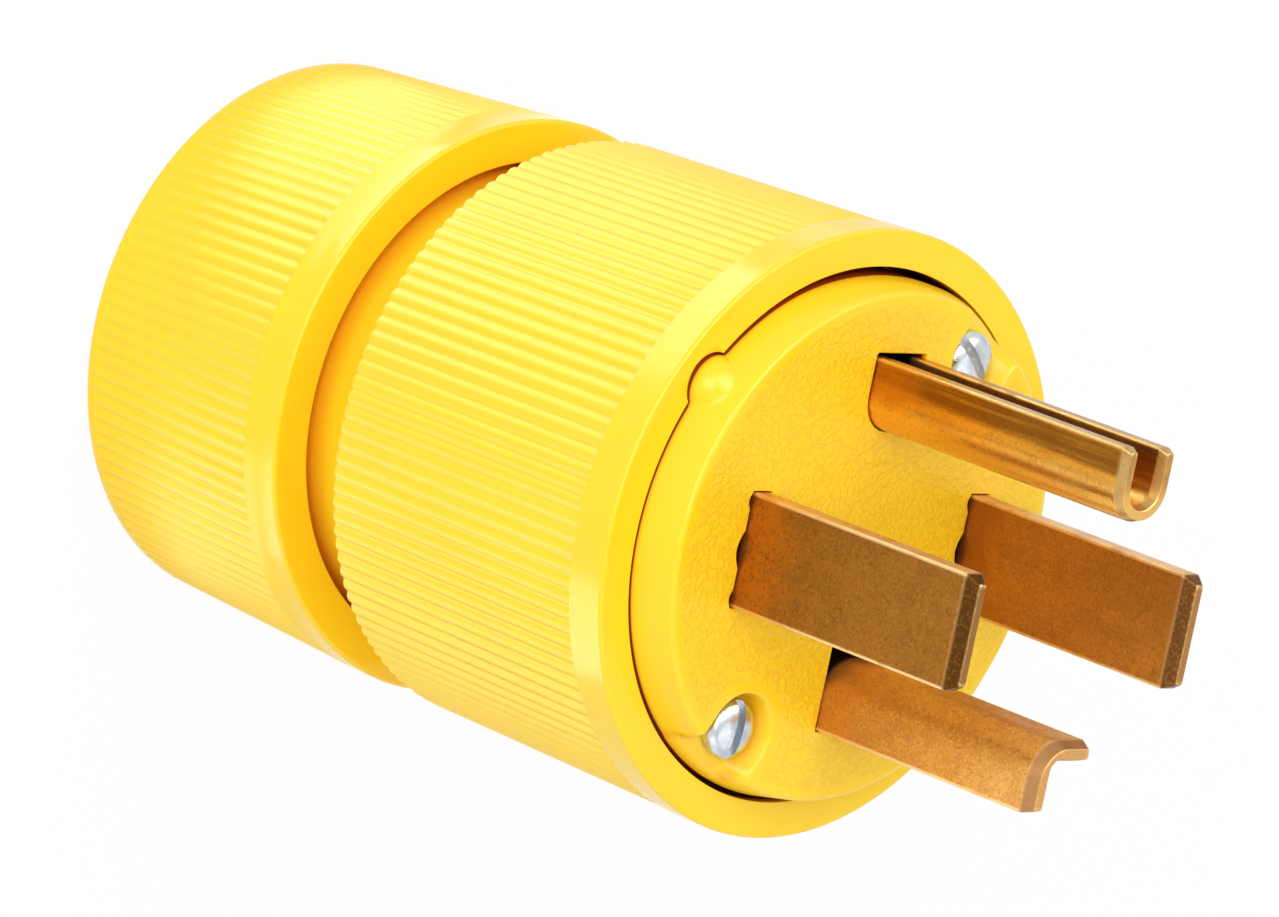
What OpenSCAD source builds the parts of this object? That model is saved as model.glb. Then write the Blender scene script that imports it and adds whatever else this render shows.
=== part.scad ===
// Straight blade plug, four blades, screw-down rear cap.
// Stands on the back of the rear cap: +Z runs along the axis to the blade tips,
// +Y is the ground blade's side, millimetres.

/* [Body] */
// Length of the rear cap
cap_len = 25.4; // [22:0.1:32]
// Length of neck left open between the rear cap and the sleeve
neck_gap = 7.1; // [3:0.1:12]
// Length of the ribbed sleeve
sleeve_len = 33.2; // [30:0.1:42]
// How far the blade face stands proud of the sleeve
face_rise = 3.8; // [3:0.1:5]
// Radius over the ribs where they meet the sleeve's front band
sleeve_r = 25.9; // [25:0.1:32]
// Wall of the rear cap at its front, around the neck
cap_wall = 4.4; // [3.8:0.1:8]
// Draft of the outside of the sleeve, in degrees
sleeve_draft = 1.2; // [0.5:0.1:3.5]
// Draft of the outside of the rear cap, in degrees
cap_draft = 3.0; // [1:0.1:3.5]

/* [Ribs] */
// Ribs around the sleeve
sleeve_ribs = 120; // [60:1:140]
// Ribs around the rear cap
cap_ribs = 116; // [60:1:140]
// Depth of the grooves between the ribs
rib_depth = 0.3; // [0.2:0.05:0.6]
// Height of the smooth band at the front of the sleeve
sleeve_band = 3.8; // [2:0.1:6]
// Height of the smooth band at the front of the rear cap
cap_band = 4.0; // [2:0.1:6]
// Height of the smooth edge at the back of the rear cap
cap_heel = 0.9; // [0.6:0.1:2]
// Step from the rib crests up to the smooth bands
band_step = 0.08; // [0.05:0.01:0.2]
// Round on the sleeve's front edge
sleeve_round = 0.4; // [0.2:0.1:1.2]
// Round on the rear cap's edges
cap_round = 0.4; // [0.2:0.1:0.5]
// Distance of the fine ring line from the sleeve's rounded front edge
line_inset = 1.0; // [0.6:0.1:2.5]
// Depth of the fine ring line
line_depth = 0.05; // [0.03:0.01:0.3]

/* [Front housing] */
// Wall of the sleeve around the blade face
collar_wall = 3.0; // [2.6:0.1:5]
// Wall behind the ribs at the rear of the sleeve
sleeve_wall = 3.1; // [2.4:0.1:3.4]
// Floor between the sleeve and the neck
floor_t = 3.0; // [2:0.1:5]
// Radius of the neck
neck_r = 20.5; // [19.5:0.1:24.6]
// Wall of the neck
neck_wall = 3.0; // [2:0.1:4]
// Length of neck inside the rear cap
neck_reach = 9.2; // [7:0.1:12]
// Depth of the blade face's seat below the sleeve's front
seat_depth = 7.2; // [5:0.1:9]
// Radius of the columns that take the assembly screws
column_r = 3.8; // [3.4:0.1:4.2]

/* [Blade face] */
// Gap between the blade face and the sleeve
face_gap = 0.55; // [0.3:0.05:0.8]
// Draft of the blade face's proud rim, measured at its edge
rim_draft = 0.6; // [0.2:0.1:1]
// Round on the rim of the blade face
rim_round = 0.4; // [0.2:0.1:0.8]
// Radius of the pocket around an assembly screw
pocket_r = 3.65; // [3.3:0.05:4.2]
// Height of the pocket floor above the sleeve's front
pocket_rise = 0.85; // [0.4:0.05:1.5]
// Round where a pocket opens through the rim
lobe_r = 1.3; // [0.8:0.1:1.6]
// Radius of the locating nub
nub_r = 2.3; // [1.8:0.1:2.6]
// Distance of the nub's centre inside the blade face's edge
nub_inset = 0.6; // [0.2:0.05:1]
// Direction of the nub around the axis, in degrees
nub_angle = 144.7; // [100:0.1:170]
// Height of the nub's dome above the sleeve's front
nub_rise = 2.5; // [2.3:0.1:3]
// Gap between the nub and its notch in the sleeve
nub_gap = 0.45; // [0.3:0.05:0.6]

/* [Blades] */
// Thickness of the hot blades
blade_t = 2.0; // [1.4:0.1:2.4]
// Width of the hot blades
hot_w = 9.7; // [8:0.1:11]
// Distance between the hot blades' middles
hot_spacing = 26.4; // [24:0.1:27.5]
// Offset of the hot blades' middles from the axis, towards the neutral
hot_drop = 0.2; // [0:0.05:1]
// Length of the hot blades in front of the face
hot_reach = 25.1; // [20:0.1:30]
// Thickness of the neutral blade's sheet
neutral_t = 1.8; // [1.4:0.1:2.2]
// Length of the neutral blade in front of the face
neutral_reach = 24.4; // [20:0.1:30]
// Distance of the neutral blade's flat leg from the axis
neutral_in = 9.5; // [9:0.1:11]
// Depth of the neutral blade's upright leg
neutral_depth = 6.1; // [4.5:0.1:6.5]
// Width of the neutral blade's flat leg
neutral_w = 6.1; // [5:0.1:7]
// Place of the neutral blade's upright leg across the face
neutral_side = -0.9; // [-2:0.1:0]
// Outer radius of the neutral blade's bend
neutral_bend = 3.2; // [2:0.1:4]
// Inner radius of the neutral blade's bend
neutral_fillet = 0.6; // [0.3:0.1:1]
// Length of the ground blade in front of the face
ground_reach = 28.3; // [22:0.1:33]
// Distance of the ground blade's round side from the axis
ground_in = 10.0; // [9:0.1:10.5]
// Width of the ground blade
ground_w = 5.8; // [5:0.1:6.2]
// Depth of the ground blade, from its round side to its open side
ground_depth = 6.2; // [5.5:0.1:7]
// Thickness of the ground blade's sheet
ground_t = 1.6; // [1.2:0.1:2]
// Length of the bevels at the tips of the hot and neutral blades
bevel_len = 1.2; // [0.8:0.1:2]
// How far such a bevel cuts into the blade's thickness
bevel_depth = 0.5; // [0.2:0.05:0.6]
// Length of the bevels at the ground blade's tip
ground_bevel_len = 0.8; // [0.4:0.1:1.5]
// How far such a bevel cuts into the ground blade's sheet
ground_bevel_depth = 0.35; // [0.2:0.05:0.5]
// Clip at the corners of a blade's tip
tip_clip = 0.7; // [0.4:0.1:1.5]
// Room around a blade in its slot
slot_gap = 0.1; // [0.05:0.05:0.2]
// Room beside a hot blade in its slot, between the slot's grip ribs
hot_room = 0.4; // [0.3:0.05:0.6]
// Length of one grip rib along the slot
grip_len = 1.8; // [1:0.1:2.5]
// Distance between the middles of a slot's two grip ribs
grip_pitch = 5.0; // [3:0.1:6]
// Room over the neutral blade's flat leg in its slot
neutral_room = 1.2; // [0.2:0.1:1.5]
// Room at the ground blade's open side in its slot
ground_room = 0.35; // [0.1:0.05:0.6]

/* [Terminals] */
// Length of blade behind the terminal body's front plate
root_len = 2.0; // [1:0.1:3]
// Thickness of the terminal body's front plate
plate_t = 3.5; // [2.5:0.1:5]
// Room between the terminal body and the sleeve
body_gap = 0.3; // [0.2:0.1:0.4]
// Ledge that a tang stands on
ledge_t = 1.5; // [1:0.1:2.5]
// Shoulder on each side of a hot tang
hot_shoulder = 0.8; // [0.5:0.1:1.2]
// Width of the neutral and ground tangs
side_tang_w = 8.4; // [7:0.1:8.6]
// Room around a tang in its well
tang_gap = 0.3; // [0.2:0.1:0.5]
// Room between a clamp plate and the blade's root or the ledge
clamp_gap = 0.6; // [0.4:0.1:1.5]
// Thickness of a clamp plate
clamp_t = 1.3; // [0.8:0.1:1.5]
// Width of a clamp plate
clamp_w = 8.0; // [6:0.1:8.2]
// Height of a clamp plate
clamp_h = 8.0; // [6:0.1:8.4]
// Radius of a terminal screw's shank
terminal_r = 1.9; // [1.5:0.1:2.2]
// Radius of a terminal screw's head
terminal_head_r = 3.1; // [2.6:0.1:3.5]
// Height of a terminal screw's head
terminal_head_h = 2.0; // [1.4:0.1:2.4]
// How far a terminal screw reaches behind its tang
screw_tail = 2.0; // [1:0.1:3]
// Wall between the terminal body's hollow middle and the ends of the terminal screws
core_wall = 2.0; // [1.2:0.1:3]

/* [Assembly screws] */
// Distance of the screws from the rim of the blade face
screw_edge = 3.55; // [3.2:0.05:4]
// Direction of the first screw around the axis, in degrees
screw_angle = 58.3; // [54:0.1:62]
// Radius of the shank
screw_r = 1.75; // [1.4:0.05:2]
// Radius of the head
screw_head_r = 2.55; // [2.3:0.05:2.9]
// Height of the head
screw_head_h = 1.85; // [1.4:0.05:2.4]
// Length of the shank inside its threaded insert
screw_grip = 7.4; // [5:0.1:8]
// Width of a screwdriver slot
slot_w = 0.9; // [0.6:0.1:1.2]
// Depth of a screwdriver slot
slot_depth = 0.9; // [0.6:0.1:1.2]
// Turn of the first screw's slot, in degrees
first_turn = -48; // [-90:1:90]
// Turn of the second screw's slot, in degrees
second_turn = 86; // [-90:1:90]
// Radius of a threaded insert
insert_r = 2.6; // [2.4:0.05:2.8]
// Length of a threaded insert
insert_len = 8.0; // [6:0.5:9]
// Room between a threaded insert and its column
insert_gap = 0.05; // [0.05:0.05:0.1]
// Room around a screw in a plain hole
hole_gap = 0.35; // [0.2:0.05:0.5]
// Room around a screw in its thread
thread_gap = 0.1; // [0.05:0.05:0.2]

/* [Cord grip] */
// Radius of the cord hole in the rear cap
cord_hole_r = 13.5; // [11:0.1:16.2]
// Thickness of the rear cap's back wall
cap_floor = 4.0; // [3:0.1:5]
// Room between the neck and the rear cap
cap_gap = 0.3; // [0.2:0.05:0.5]
// Room between the neck and the rear cap's open mouth
mouth_gap = 1.0; // [0.6:0.1:2]
// Depth of the rear cap's mouth
mouth_depth = 3.0; // [2:0.1:5]
// Room between the collet and the cap's cone
collet_gap = 0.3; // [0.2:0.05:0.5]
// Wall of the collet at the tips of its fingers
collet_tip = 0.6; // [0.4:0.1:1]
// Fingers of the collet
fingers = 8; // [6:1:12]
// Width of the slits between the fingers
slit_w = 1.2; // [0.8:0.1:2]
// Height of the collet's ring above the slits
collet_ring = 2.4; // [1.5:0.1:4]
// Wall of the rubber grommet
grommet_wall = 3.7; // [2.5:0.1:5]
// Room between the grommet and the collet
grommet_gap = 0.3; // [0.2:0.05:0.5]
// Wall that the cord hole leaves for the grommet to stand on
grommet_seat = 1.2; // [0.8:0.1:2]
// Thickness of the slip ring
slip_t = 1.2; // [0.8:0.1:2]

/* [Hidden] */
$fn = 96;

// Cuts run this far past the faces that they open
past = 1;
// Points along one rib, from crest to crest
rib_points = 4;
// Steps along a rounded edge, a bend and a screw pocket's wall
edge_steps = 6;
bend_steps = 8;
wall_steps = 18;

// Heights along the axis
z_sleeve = cap_len + neck_gap;
z_front = z_sleeve + sleeve_len;
z_band = z_front - sleeve_band;
z_face = z_front + face_rise;
z_seat = z_front - seat_depth;
z_floor = z_sleeve + floor_t;
z_plate = z_seat - plate_t;
z_root = z_plate - root_len;
z_clamp = z_root - clamp_gap - clamp_h;
z_terminal = z_clamp + clamp_h / 2;
z_ledge = z_clamp - clamp_gap;
z_wells = z_ledge - ledge_t;
z_pocket = z_front + pocket_rise;
z_screw_end = z_plate - screw_grip;
z_mouth = cap_len - mouth_depth;
z_neck = cap_len - neck_reach;
z_slip = z_neck - slip_t;

// Radii
sleeve_slope = tan(sleeve_draft);
cap_slope = tan(cap_draft);
sleeve_rear_r = sleeve_r - sleeve_slope * (sleeve_len - sleeve_band);
band_r = sleeve_r + band_step + sleeve_slope * sleeve_band;
line_r = band_r - sleeve_round - line_inset;
cap_r = neck_r + cap_gap + cap_wall;
cap_rib_r = cap_r - cap_slope * cap_band;
cap_back_r = cap_r - cap_slope * cap_len;
cap_heel_r = cap_back_r + cap_slope * cap_heel;
bore_r = sleeve_r - collar_wall;
cavity_r = sleeve_rear_r - rib_depth - sleeve_wall;
face_r = bore_r - face_gap;
rim_r = face_r - rim_draft;
body_r = cavity_r - body_gap;
screw_pitch = face_r - screw_edge;
nub_pitch = face_r - nub_inset;
hot_tang_w = hot_w + 2 * hot_shoulder;
cap_bore_r = neck_r + cap_gap;
mouth_r = neck_r + mouth_gap;
grommet_r = cord_hole_r + grommet_seat;
collet_in_r = grommet_r + grommet_gap;
cone_r = collet_in_r + collet_tip;

// One terminal: direction, distance of the tang's inner face, its offset, its sheet, its width
HOT_RIGHT = [0, hot_spacing / 2 - blade_t / 2, -hot_drop, blade_t, hot_tang_w];
HOT_LEFT = [180, hot_spacing / 2 - blade_t / 2, hot_drop, blade_t, hot_tang_w];
NEUTRAL = [-90, neutral_in, neutral_side + neutral_w / 2, neutral_t, side_tang_w];
GROUND = [90, ground_in, 0, ground_t, side_tang_w];
TERMINALS = [HOT_RIGHT, HOT_LEFT, NEUTRAL, GROUND];

// Cuts at a blade's tip: depth into the blade, length along it
BEVEL = [bevel_depth, bevel_len];
CLIP = [tip_clip, tip_clip];

// Points of an arc about a centre
function arc(centre, r, from, to, steps) =
  [for (i = [0 : steps]) let (a = from + (to - from) * i / steps) centre + r * [cos(a), sin(a)]];

// Outline of a ring of half-round ribs with sharp grooves between them
function rib_outline(r, ribs) =
  [for (i = [0 : ribs * rib_points - 1])
    let (a = 360 * i / (ribs * rib_points), crest = abs(cos(180 * (i % rib_points) / rib_points)))
    (r - rib_depth * (1 - crest)) * [cos(a), sin(a)]];

// Outline of a screw pocket whose screw lies on +X: round wall, lobes at the rim, open outwards
function pocket_outline() =
  let (
    lobe_out = rim_r - lobe_r,
    lobe_off = pocket_r + lobe_r,
    x = (lobe_out * lobe_out - lobe_off * lobe_off + screw_pitch * screw_pitch) / (2 * screw_pitch),
    y = sqrt(lobe_out * lobe_out - x * x),
    outward = atan2(y, x),
    inward = atan2(y, screw_pitch - x),
    far = face_r + 2 * past
  )
  concat(
    arc([x, -y], lobe_r, -outward, inward, edge_steps),
    arc([screw_pitch, 0], pocket_r, inward - 180, -inward - 180, wall_steps),
    arc([x, y], lobe_r, -inward, outward, edge_steps),
    [far * [cos(outward), sin(outward)], far * [cos(outward), -sin(outward)]]
  );

// Section of the neutral blade, in its terminal's frame
function neutral_outline() =
  let (
    heel = [neutral_in, neutral_side],
    elbow = heel + [neutral_t, neutral_t],
    end = heel + [neutral_depth, neutral_w]
  )
  concat(
    [[end[0], heel[1]], [end[0], elbow[1]]],
    arc(elbow + [neutral_fillet, neutral_fillet], neutral_fillet, 270, 180, bend_steps),
    [[elbow[0], end[1]], [heel[0], end[1]]],
    arc(heel + [neutral_bend, neutral_bend], neutral_bend, 180, 270, bend_steps)
  );

// Tapered solid with ribs along its outside, from the radius at its foot to the radius at its end
module ribbed_cone(foot_r, end_r, height, ribs) {
  linear_extrude(height = height, scale = end_r / foot_r)
    polygon(rib_outline(foot_r, ribs));
}

// Ring of a given section height
module tube(outer, inner, from, to) {
  difference() {
    translate([0, 0, from])
      cylinder(r = outer, h = to - from);
    translate([0, 0, from - past])
      cylinder(r = inner, h = to - from + 2 * past);
  }
}

// Round column or cut between two heights
module column(r, from, to) {
  translate([0, 0, from])
    cylinder(r = r, h = to - from);
}

// Block from one corner to the other
module block(low, high) {
  translate(low)
    cube(high - low);
}

// Children at both assembly screws
module at_screws() {
  for (i = [0, 1])
    rotate([0, 0, screw_angle + 180 * i])
      translate([screw_pitch, 0, 0])
        children();
}

// Children at the locating nub
module at_nub() {
  rotate([0, 0, nub_angle])
    translate([nub_pitch, 0, 0])
      children();
}

// Children in a terminal's own frame: +X outwards
module at_terminal(terminal) {
  rotate([0, 0, terminal[0]])
    children();
}

// Rod along a terminal's screw, from one distance to another
module terminal_rod(terminal, r, from, to) {
  translate([from, terminal[2], z_terminal])
    rotate([0, 90, 0])
      cylinder(r = r, h = to - from);
}

// Outside of the sleeve's smooth front band, with its rounded edge and ring line
module front_band() {
  edge = arc([band_r - sleeve_round, z_front - sleeve_round], sleeve_round, 0, 90, edge_steps);
  rotate_extrude()
    polygon(concat(
      [[0, z_band], [sleeve_r + band_step, z_band]],
      edge,
      [[line_r + line_depth, z_front], [line_r, z_front - line_depth], [line_r - line_depth, z_front]],
      [[0, z_front]]
    ));
}

module front_housing() {
  color("gold")
    difference() {
      union() {
        difference() {
          union() {
            translate([0, 0, z_sleeve])
              ribbed_cone(sleeve_rear_r, sleeve_r, z_band - z_sleeve, sleeve_ribs);
            front_band();
            column(neck_r, z_neck, z_floor);
          }
          column(neck_r - neck_wall, z_neck - past, z_floor + past);
          column(cavity_r, z_floor, z_seat + past);
          column(bore_r, z_seat, z_front + past);
        }
        at_screws()
          column(column_r, z_sleeve, z_plate);
      }
      at_screws() {
        column(insert_r + insert_gap, z_plate - insert_len, z_plate + past);
        column(screw_r + hole_gap, z_screw_end - 2 * past, z_plate);
      }
      at_nub()
        column(nub_r + nub_gap, z_seat + past, z_front + past);
    }
}

module rear_cap() {
  color("gold")
    difference() {
      union() {
        rotate_extrude()
          polygon(concat(
            [[0, 0]],
            arc([cap_back_r - cap_round, cap_round], cap_round, -90, 0, edge_steps),
            [[cap_heel_r + band_step, cap_heel], [0, cap_heel]]
          ));
        translate([0, 0, cap_heel])
          ribbed_cone(cap_heel_r, cap_rib_r, cap_len - cap_band - cap_heel, cap_ribs);
        rotate_extrude()
          polygon(concat(
            [[0, cap_len - cap_band], [cap_rib_r + band_step, cap_len - cap_band]],
            arc([cap_r - cap_round, cap_len - cap_round], cap_round, 0, 90, edge_steps),
            [[0, cap_len]]
          ));
      }
      column(cord_hole_r, -past, cap_floor + past);
      rotate_extrude()
        polygon([
          [0, cap_floor],
          [cone_r, cap_floor],
          [cap_bore_r, cap_floor + cap_bore_r - cone_r],
          [cap_bore_r, z_mouth],
          [mouth_r, z_mouth + mouth_r - cap_bore_r],
          [mouth_r, cap_len + past],
          [0, cap_len + past]
        ]);
    }
}

module nub() {
  dome = arc([0, nub_rise - nub_r + z_front], nub_r, 0, 90, bend_steps);
  rotate_extrude()
    polygon(concat([[0, z_seat + 2 * past], [nub_r, z_seat + 2 * past]], dome));
}

// Slot of one hot blade between two heights, narrowed by grip ribs on both faces
module hot_slot(from, to) {
  wide = blade_t / 2 + hot_room;
  tight = blade_t / 2 + slot_gap;
  half = hot_w / 2 + slot_gap;
  difference() {
    block([-wide, -half, from], [wide, half, to]);
    for (side = [0, 1], row = [-1, 1])
      mirror([side, 0, 0])
        translate([0, row * grip_pitch / 2, 0])
          block([tight, -grip_len / 2, from - past], [wide + past, grip_len / 2, to + past]);
  }
}

// Openings for the four blades, between two heights
module blade_slots(from, to) {
  neutral_top = neutral_in - neutral_room;
  ground_r = ground_w / 2;
  for (side = [-1, 1])
    translate([side * hot_spacing / 2, -hot_drop, 0])
      hot_slot(from, to);
  at_terminal(NEUTRAL) {
    block(
      [neutral_top, neutral_side - slot_gap, from],
      [neutral_in + neutral_t + slot_gap, neutral_side + neutral_w + slot_gap, to]
    );
    block(
      [neutral_top, neutral_side - slot_gap, from],
      [neutral_in + neutral_depth + slot_gap, neutral_side + neutral_t + neutral_fillet, to]
    );
  }
  at_terminal(GROUND) {
    translate([ground_in + ground_r, 0, 0])
      column(ground_r + slot_gap, from, to);
    block(
      [ground_in + ground_r, -ground_r - slot_gap, from],
      [ground_in + ground_depth + ground_room, ground_r + slot_gap, to]
    );
  }
}

module blade_face() {
  color("gold")
    difference() {
      union() {
        rotate_extrude()
          polygon(concat(
            [[0, z_seat], [face_r, z_seat], [face_r, z_front - past]],
            arc([rim_r - rim_round, z_face - rim_round], rim_round, 0, 90, edge_steps),
            [[0, z_face]]
          ));
        at_nub()
          nub();
      }
      for (i = [0, 1])
        rotate([0, 0, screw_angle + 180 * i])
          translate([0, 0, z_pocket])
            linear_extrude(height = face_rise)
              polygon(pocket_outline());
      at_screws()
        column(screw_r + hole_gap, z_seat - past, z_pocket + past);
      blade_slots(z_seat - past, z_face + past);
    }
}

// Hollow of one terminal: seat of the tang, well for the wire, relief for the screw's end
module terminal_well(terminal) {
  inner = terminal[1];
  outer = inner + terminal[3];
  half = terminal[4] / 2 + tang_gap;
  at_terminal(terminal) {
    block([inner, terminal[2] - half, z_ledge], [outer + past, terminal[2] + half, z_plate]);
    block([outer, terminal[2] - half, z_wells - past], [cavity_r, terminal[2] + half, z_plate]);
    terminal_rod(terminal, terminal_r + hole_gap, inner - screw_tail - past, inner + past);
  }
}

module terminal_body() {
  tail = screw_tail + past + core_wall;
  core = [HOT_RIGHT[1] - tail, min(neutral_in, ground_in) - tail];
  color("dimgray")
    difference() {
      column(body_r, z_wells, z_seat);
      for (terminal = TERMINALS)
        terminal_well(terminal);
      at_screws() {
        column(column_r + tang_gap, z_wells - past, z_plate);
        column(screw_r + hole_gap, z_plate - past, z_seat + past);
      }
      blade_slots(z_plate - past, z_seat + past);
      block(
        [-core[0], -core[1], z_wells - past],
        [core[0], core[1], z_plate - plate_t]
      );
    }
}

// Tang that carries a terminal's clamp and screw
module tang(terminal) {
  half = terminal[4] / 2;
  outer = terminal[1] + terminal[3];
  difference() {
    block([terminal[1], terminal[2] - half, z_ledge], [outer, terminal[2] + half, z_plate]);
    terminal_rod(terminal, terminal_r + thread_gap, terminal[1] - past, outer + past);
  }
}

// Wedge that takes the corner off the face x = 0 of a blade's tip at height z, over a width
module tip_wedge(z, from, to, cut) {
  run = past * cut[1] / cut[0];
  translate([0, to, z])
    rotate([90, 0, 0])
      linear_extrude(height = to - from)
        polygon([[-past, -cut[1] - run], [cut[0] + past, run], [-past, run]]);
}

module hot_blade(terminal) {
  tip = z_face + hot_reach;
  half = hot_w / 2;
  color("peru")
    at_terminal(terminal) {
      tang(terminal);
      translate([terminal[1], terminal[2], 0])
        intersection() {
          rotate([90, 0, 0])
            linear_extrude(height = hot_w, center = true)
              polygon([
                [0, z_root], [blade_t, z_root], [blade_t, tip - bevel_len],
                [blade_t - bevel_depth, tip], [bevel_depth, tip], [0, tip - bevel_len]
              ]);
          rotate([90, 0, 90])
            linear_extrude(height = blade_t)
              polygon([
                [-half, z_root], [half, z_root], [half, tip - tip_clip],
                [half - tip_clip, tip], [tip_clip - half, tip], [-half, tip - tip_clip]
              ]);
        }
    }
}

module neutral_blade() {
  tip = z_face + neutral_reach;
  heel = [neutral_in, neutral_side];
  elbow = heel + [neutral_t, neutral_t];
  end = heel + [neutral_depth, neutral_w];
  color("peru")
    at_terminal(NEUTRAL) {
      tang(NEUTRAL);
      difference() {
        translate([0, 0, z_root])
          linear_extrude(height = tip - z_root)
            polygon(neutral_outline());
        translate([heel[0], 0, 0])
          tip_wedge(tip, heel[1] - past, end[1] + past, BEVEL);
        translate([elbow[0], 0, 0])
          mirror([1, 0, 0])
            tip_wedge(tip, elbow[1], end[1] + past, BEVEL);
        translate([end[0], 0, 0])
          mirror([1, 0, 0])
            tip_wedge(tip, heel[1] - past, elbow[1] + past, CLIP);
        translate([0, heel[1], 0])
          mirror([1, -1, 0])
            tip_wedge(tip, heel[0] - past, end[0] + past, BEVEL);
        translate([0, elbow[1], 0])
          mirror([1, -1, 0])
            mirror([1, 0, 0])
              tip_wedge(tip, elbow[0], end[0] + past, BEVEL);
        translate([0, end[1], 0])
          mirror([1, -1, 0])
            mirror([1, 0, 0])
              tip_wedge(tip, heel[0] - past, elbow[0] + past, CLIP);
      }
    }
}

module ground_blade() {
  tip = z_face + ground_reach;
  foot = tip - ground_bevel_len;
  r = ground_w / 2;
  bore = r - ground_t;
  depth = ground_depth - r;
  tip_r = r - ground_bevel_depth;
  flare_r = bore + ground_bevel_depth * (ground_bevel_len + past) / ground_bevel_len;
  color("peru")
    at_terminal(GROUND) {
      tang(GROUND);
      translate([ground_in + r, 0, 0])
        difference() {
          union() {
            column(r, z_root, foot);
            translate([0, 0, foot])
              cylinder(r1 = r, r2 = tip_r, h = ground_bevel_len);
            rotate([90, 0, 90])
              linear_extrude(height = depth)
                polygon([[-r, z_root], [r, z_root], [r, foot], [tip_r, tip], [-tip_r, tip], [-r, foot]]);
          }
          column(bore, z_root - past, tip);
          translate([0, 0, foot])
            cylinder(r1 = bore, r2 = flare_r, h = ground_bevel_len + past);
          rotate([90, 0, 90])
            linear_extrude(height = depth + past)
              polygon([
                [-bore, z_root - past], [bore, z_root - past], [bore, foot],
                [flare_r, tip + past], [-flare_r, tip + past], [-bore, foot]
              ]);
          translate([depth, 0, 0])
            mirror([1, 0, 0])
              tip_wedge(tip, -ground_w, ground_w, CLIP);
        }
    }
}

// Flat plate that a terminal screw presses on the wire
module clamp(terminal) {
  from = terminal[1] + terminal[3];
  half = clamp_w / 2;
  color("silver")
    at_terminal(terminal)
      difference() {
        block(
          [from, terminal[2] - half, z_clamp],
          [from + clamp_t, terminal[2] + half, z_clamp + clamp_h]
        );
        terminal_rod(terminal, terminal_r + hole_gap, from - past, from + clamp_t + past);
      }
}

// Slotted screw that holds a terminal's clamp
module terminal_screw(terminal, tint) {
  head = terminal[1] + terminal[3] + clamp_t;
  top = head + terminal_head_h;
  color(tint)
    at_terminal(terminal)
      difference() {
        union() {
          terminal_rod(terminal, terminal_head_r, head, top);
          terminal_rod(terminal, terminal_r, terminal[1] - screw_tail, head + slot_depth);
        }
        translate([top, terminal[2], z_terminal])
          cube([2 * slot_depth, 2 * (terminal_head_r + past), slot_w], center = true);
      }
}

module assembly_screws() {
  turns = [first_turn, second_turn];
  color("silver")
    for (i = [0, 1])
      rotate([0, 0, screw_angle + 180 * i])
        translate([screw_pitch, 0, 0])
          difference() {
            union() {
              column(screw_head_r, z_pocket, z_pocket + screw_head_h);
              column(screw_r, z_screw_end, z_pocket + slot_depth);
            }
            translate([0, 0, z_pocket + screw_head_h])
              rotate([0, 0, turns[i] - screw_angle - 180 * i])
                cube([2 * (screw_head_r + past), slot_w, 2 * slot_depth], center = true);
          }
}

module threaded_inserts() {
  color("goldenrod")
    at_screws()
      tube(insert_r, screw_r + thread_gap, z_plate - insert_len, z_plate);
}

// Split cone whose fingers close on the grommet as the cap draws up
module grip_collet() {
  out_r = cap_bore_r - collet_gap;
  foot = cap_floor + collet_gap;
  color("whitesmoke")
    difference() {
      rotate_extrude()
        polygon([
          [collet_in_r, foot],
          [cone_r, foot + collet_gap],
          [out_r, foot + collet_gap + out_r - cone_r],
          [out_r, z_slip],
          [collet_in_r, z_slip]
        ]);
      for (i = [0 : fingers - 1])
        rotate([0, 0, 360 * i / fingers])
          block([0, -slit_w / 2, 0], [cap_bore_r + past, slit_w / 2, z_slip - collet_ring]);
    }
}

module cord_grommet() {
  color("black")
    tube(grommet_r, grommet_r - grommet_wall, cap_floor, z_slip);
}

module slip_ring() {
  color("silver")
    tube(neck_r - cap_gap, grommet_r - grommet_wall + past, z_slip, z_neck);
}

front_housing();
rear_cap();
blade_face();
terminal_body();
hot_blade(HOT_RIGHT);  // hot_blade_right
hot_blade(HOT_LEFT);  // hot_blade_left
neutral_blade();
ground_blade();
clamp(HOT_RIGHT);  // hot_clamp_right
clamp(HOT_LEFT);  // hot_clamp_left
clamp(NEUTRAL);  // neutral_clamp
clamp(GROUND);  // ground_clamp
terminal_screw(HOT_RIGHT, "darkgoldenrod");  // hot_screw_right
terminal_screw(HOT_LEFT, "darkgoldenrod");  // hot_screw_left
terminal_screw(NEUTRAL, "silver");  // neutral_screw
terminal_screw(GROUND, "seagreen");  // ground_screw
assembly_screws();
threaded_inserts();
grip_collet();
cord_grommet();
slip_ring();
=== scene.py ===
"""Straight blade plug: detailed pieces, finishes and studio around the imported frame."""
import logging
import math
from dataclasses import dataclass
from enum import Enum
from typing import Any, Callable, Iterable, Sequence

import bpy
from mathutils import Matrix, Vector
from mathutils.geometry import delaunay_2d_cdt


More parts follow.
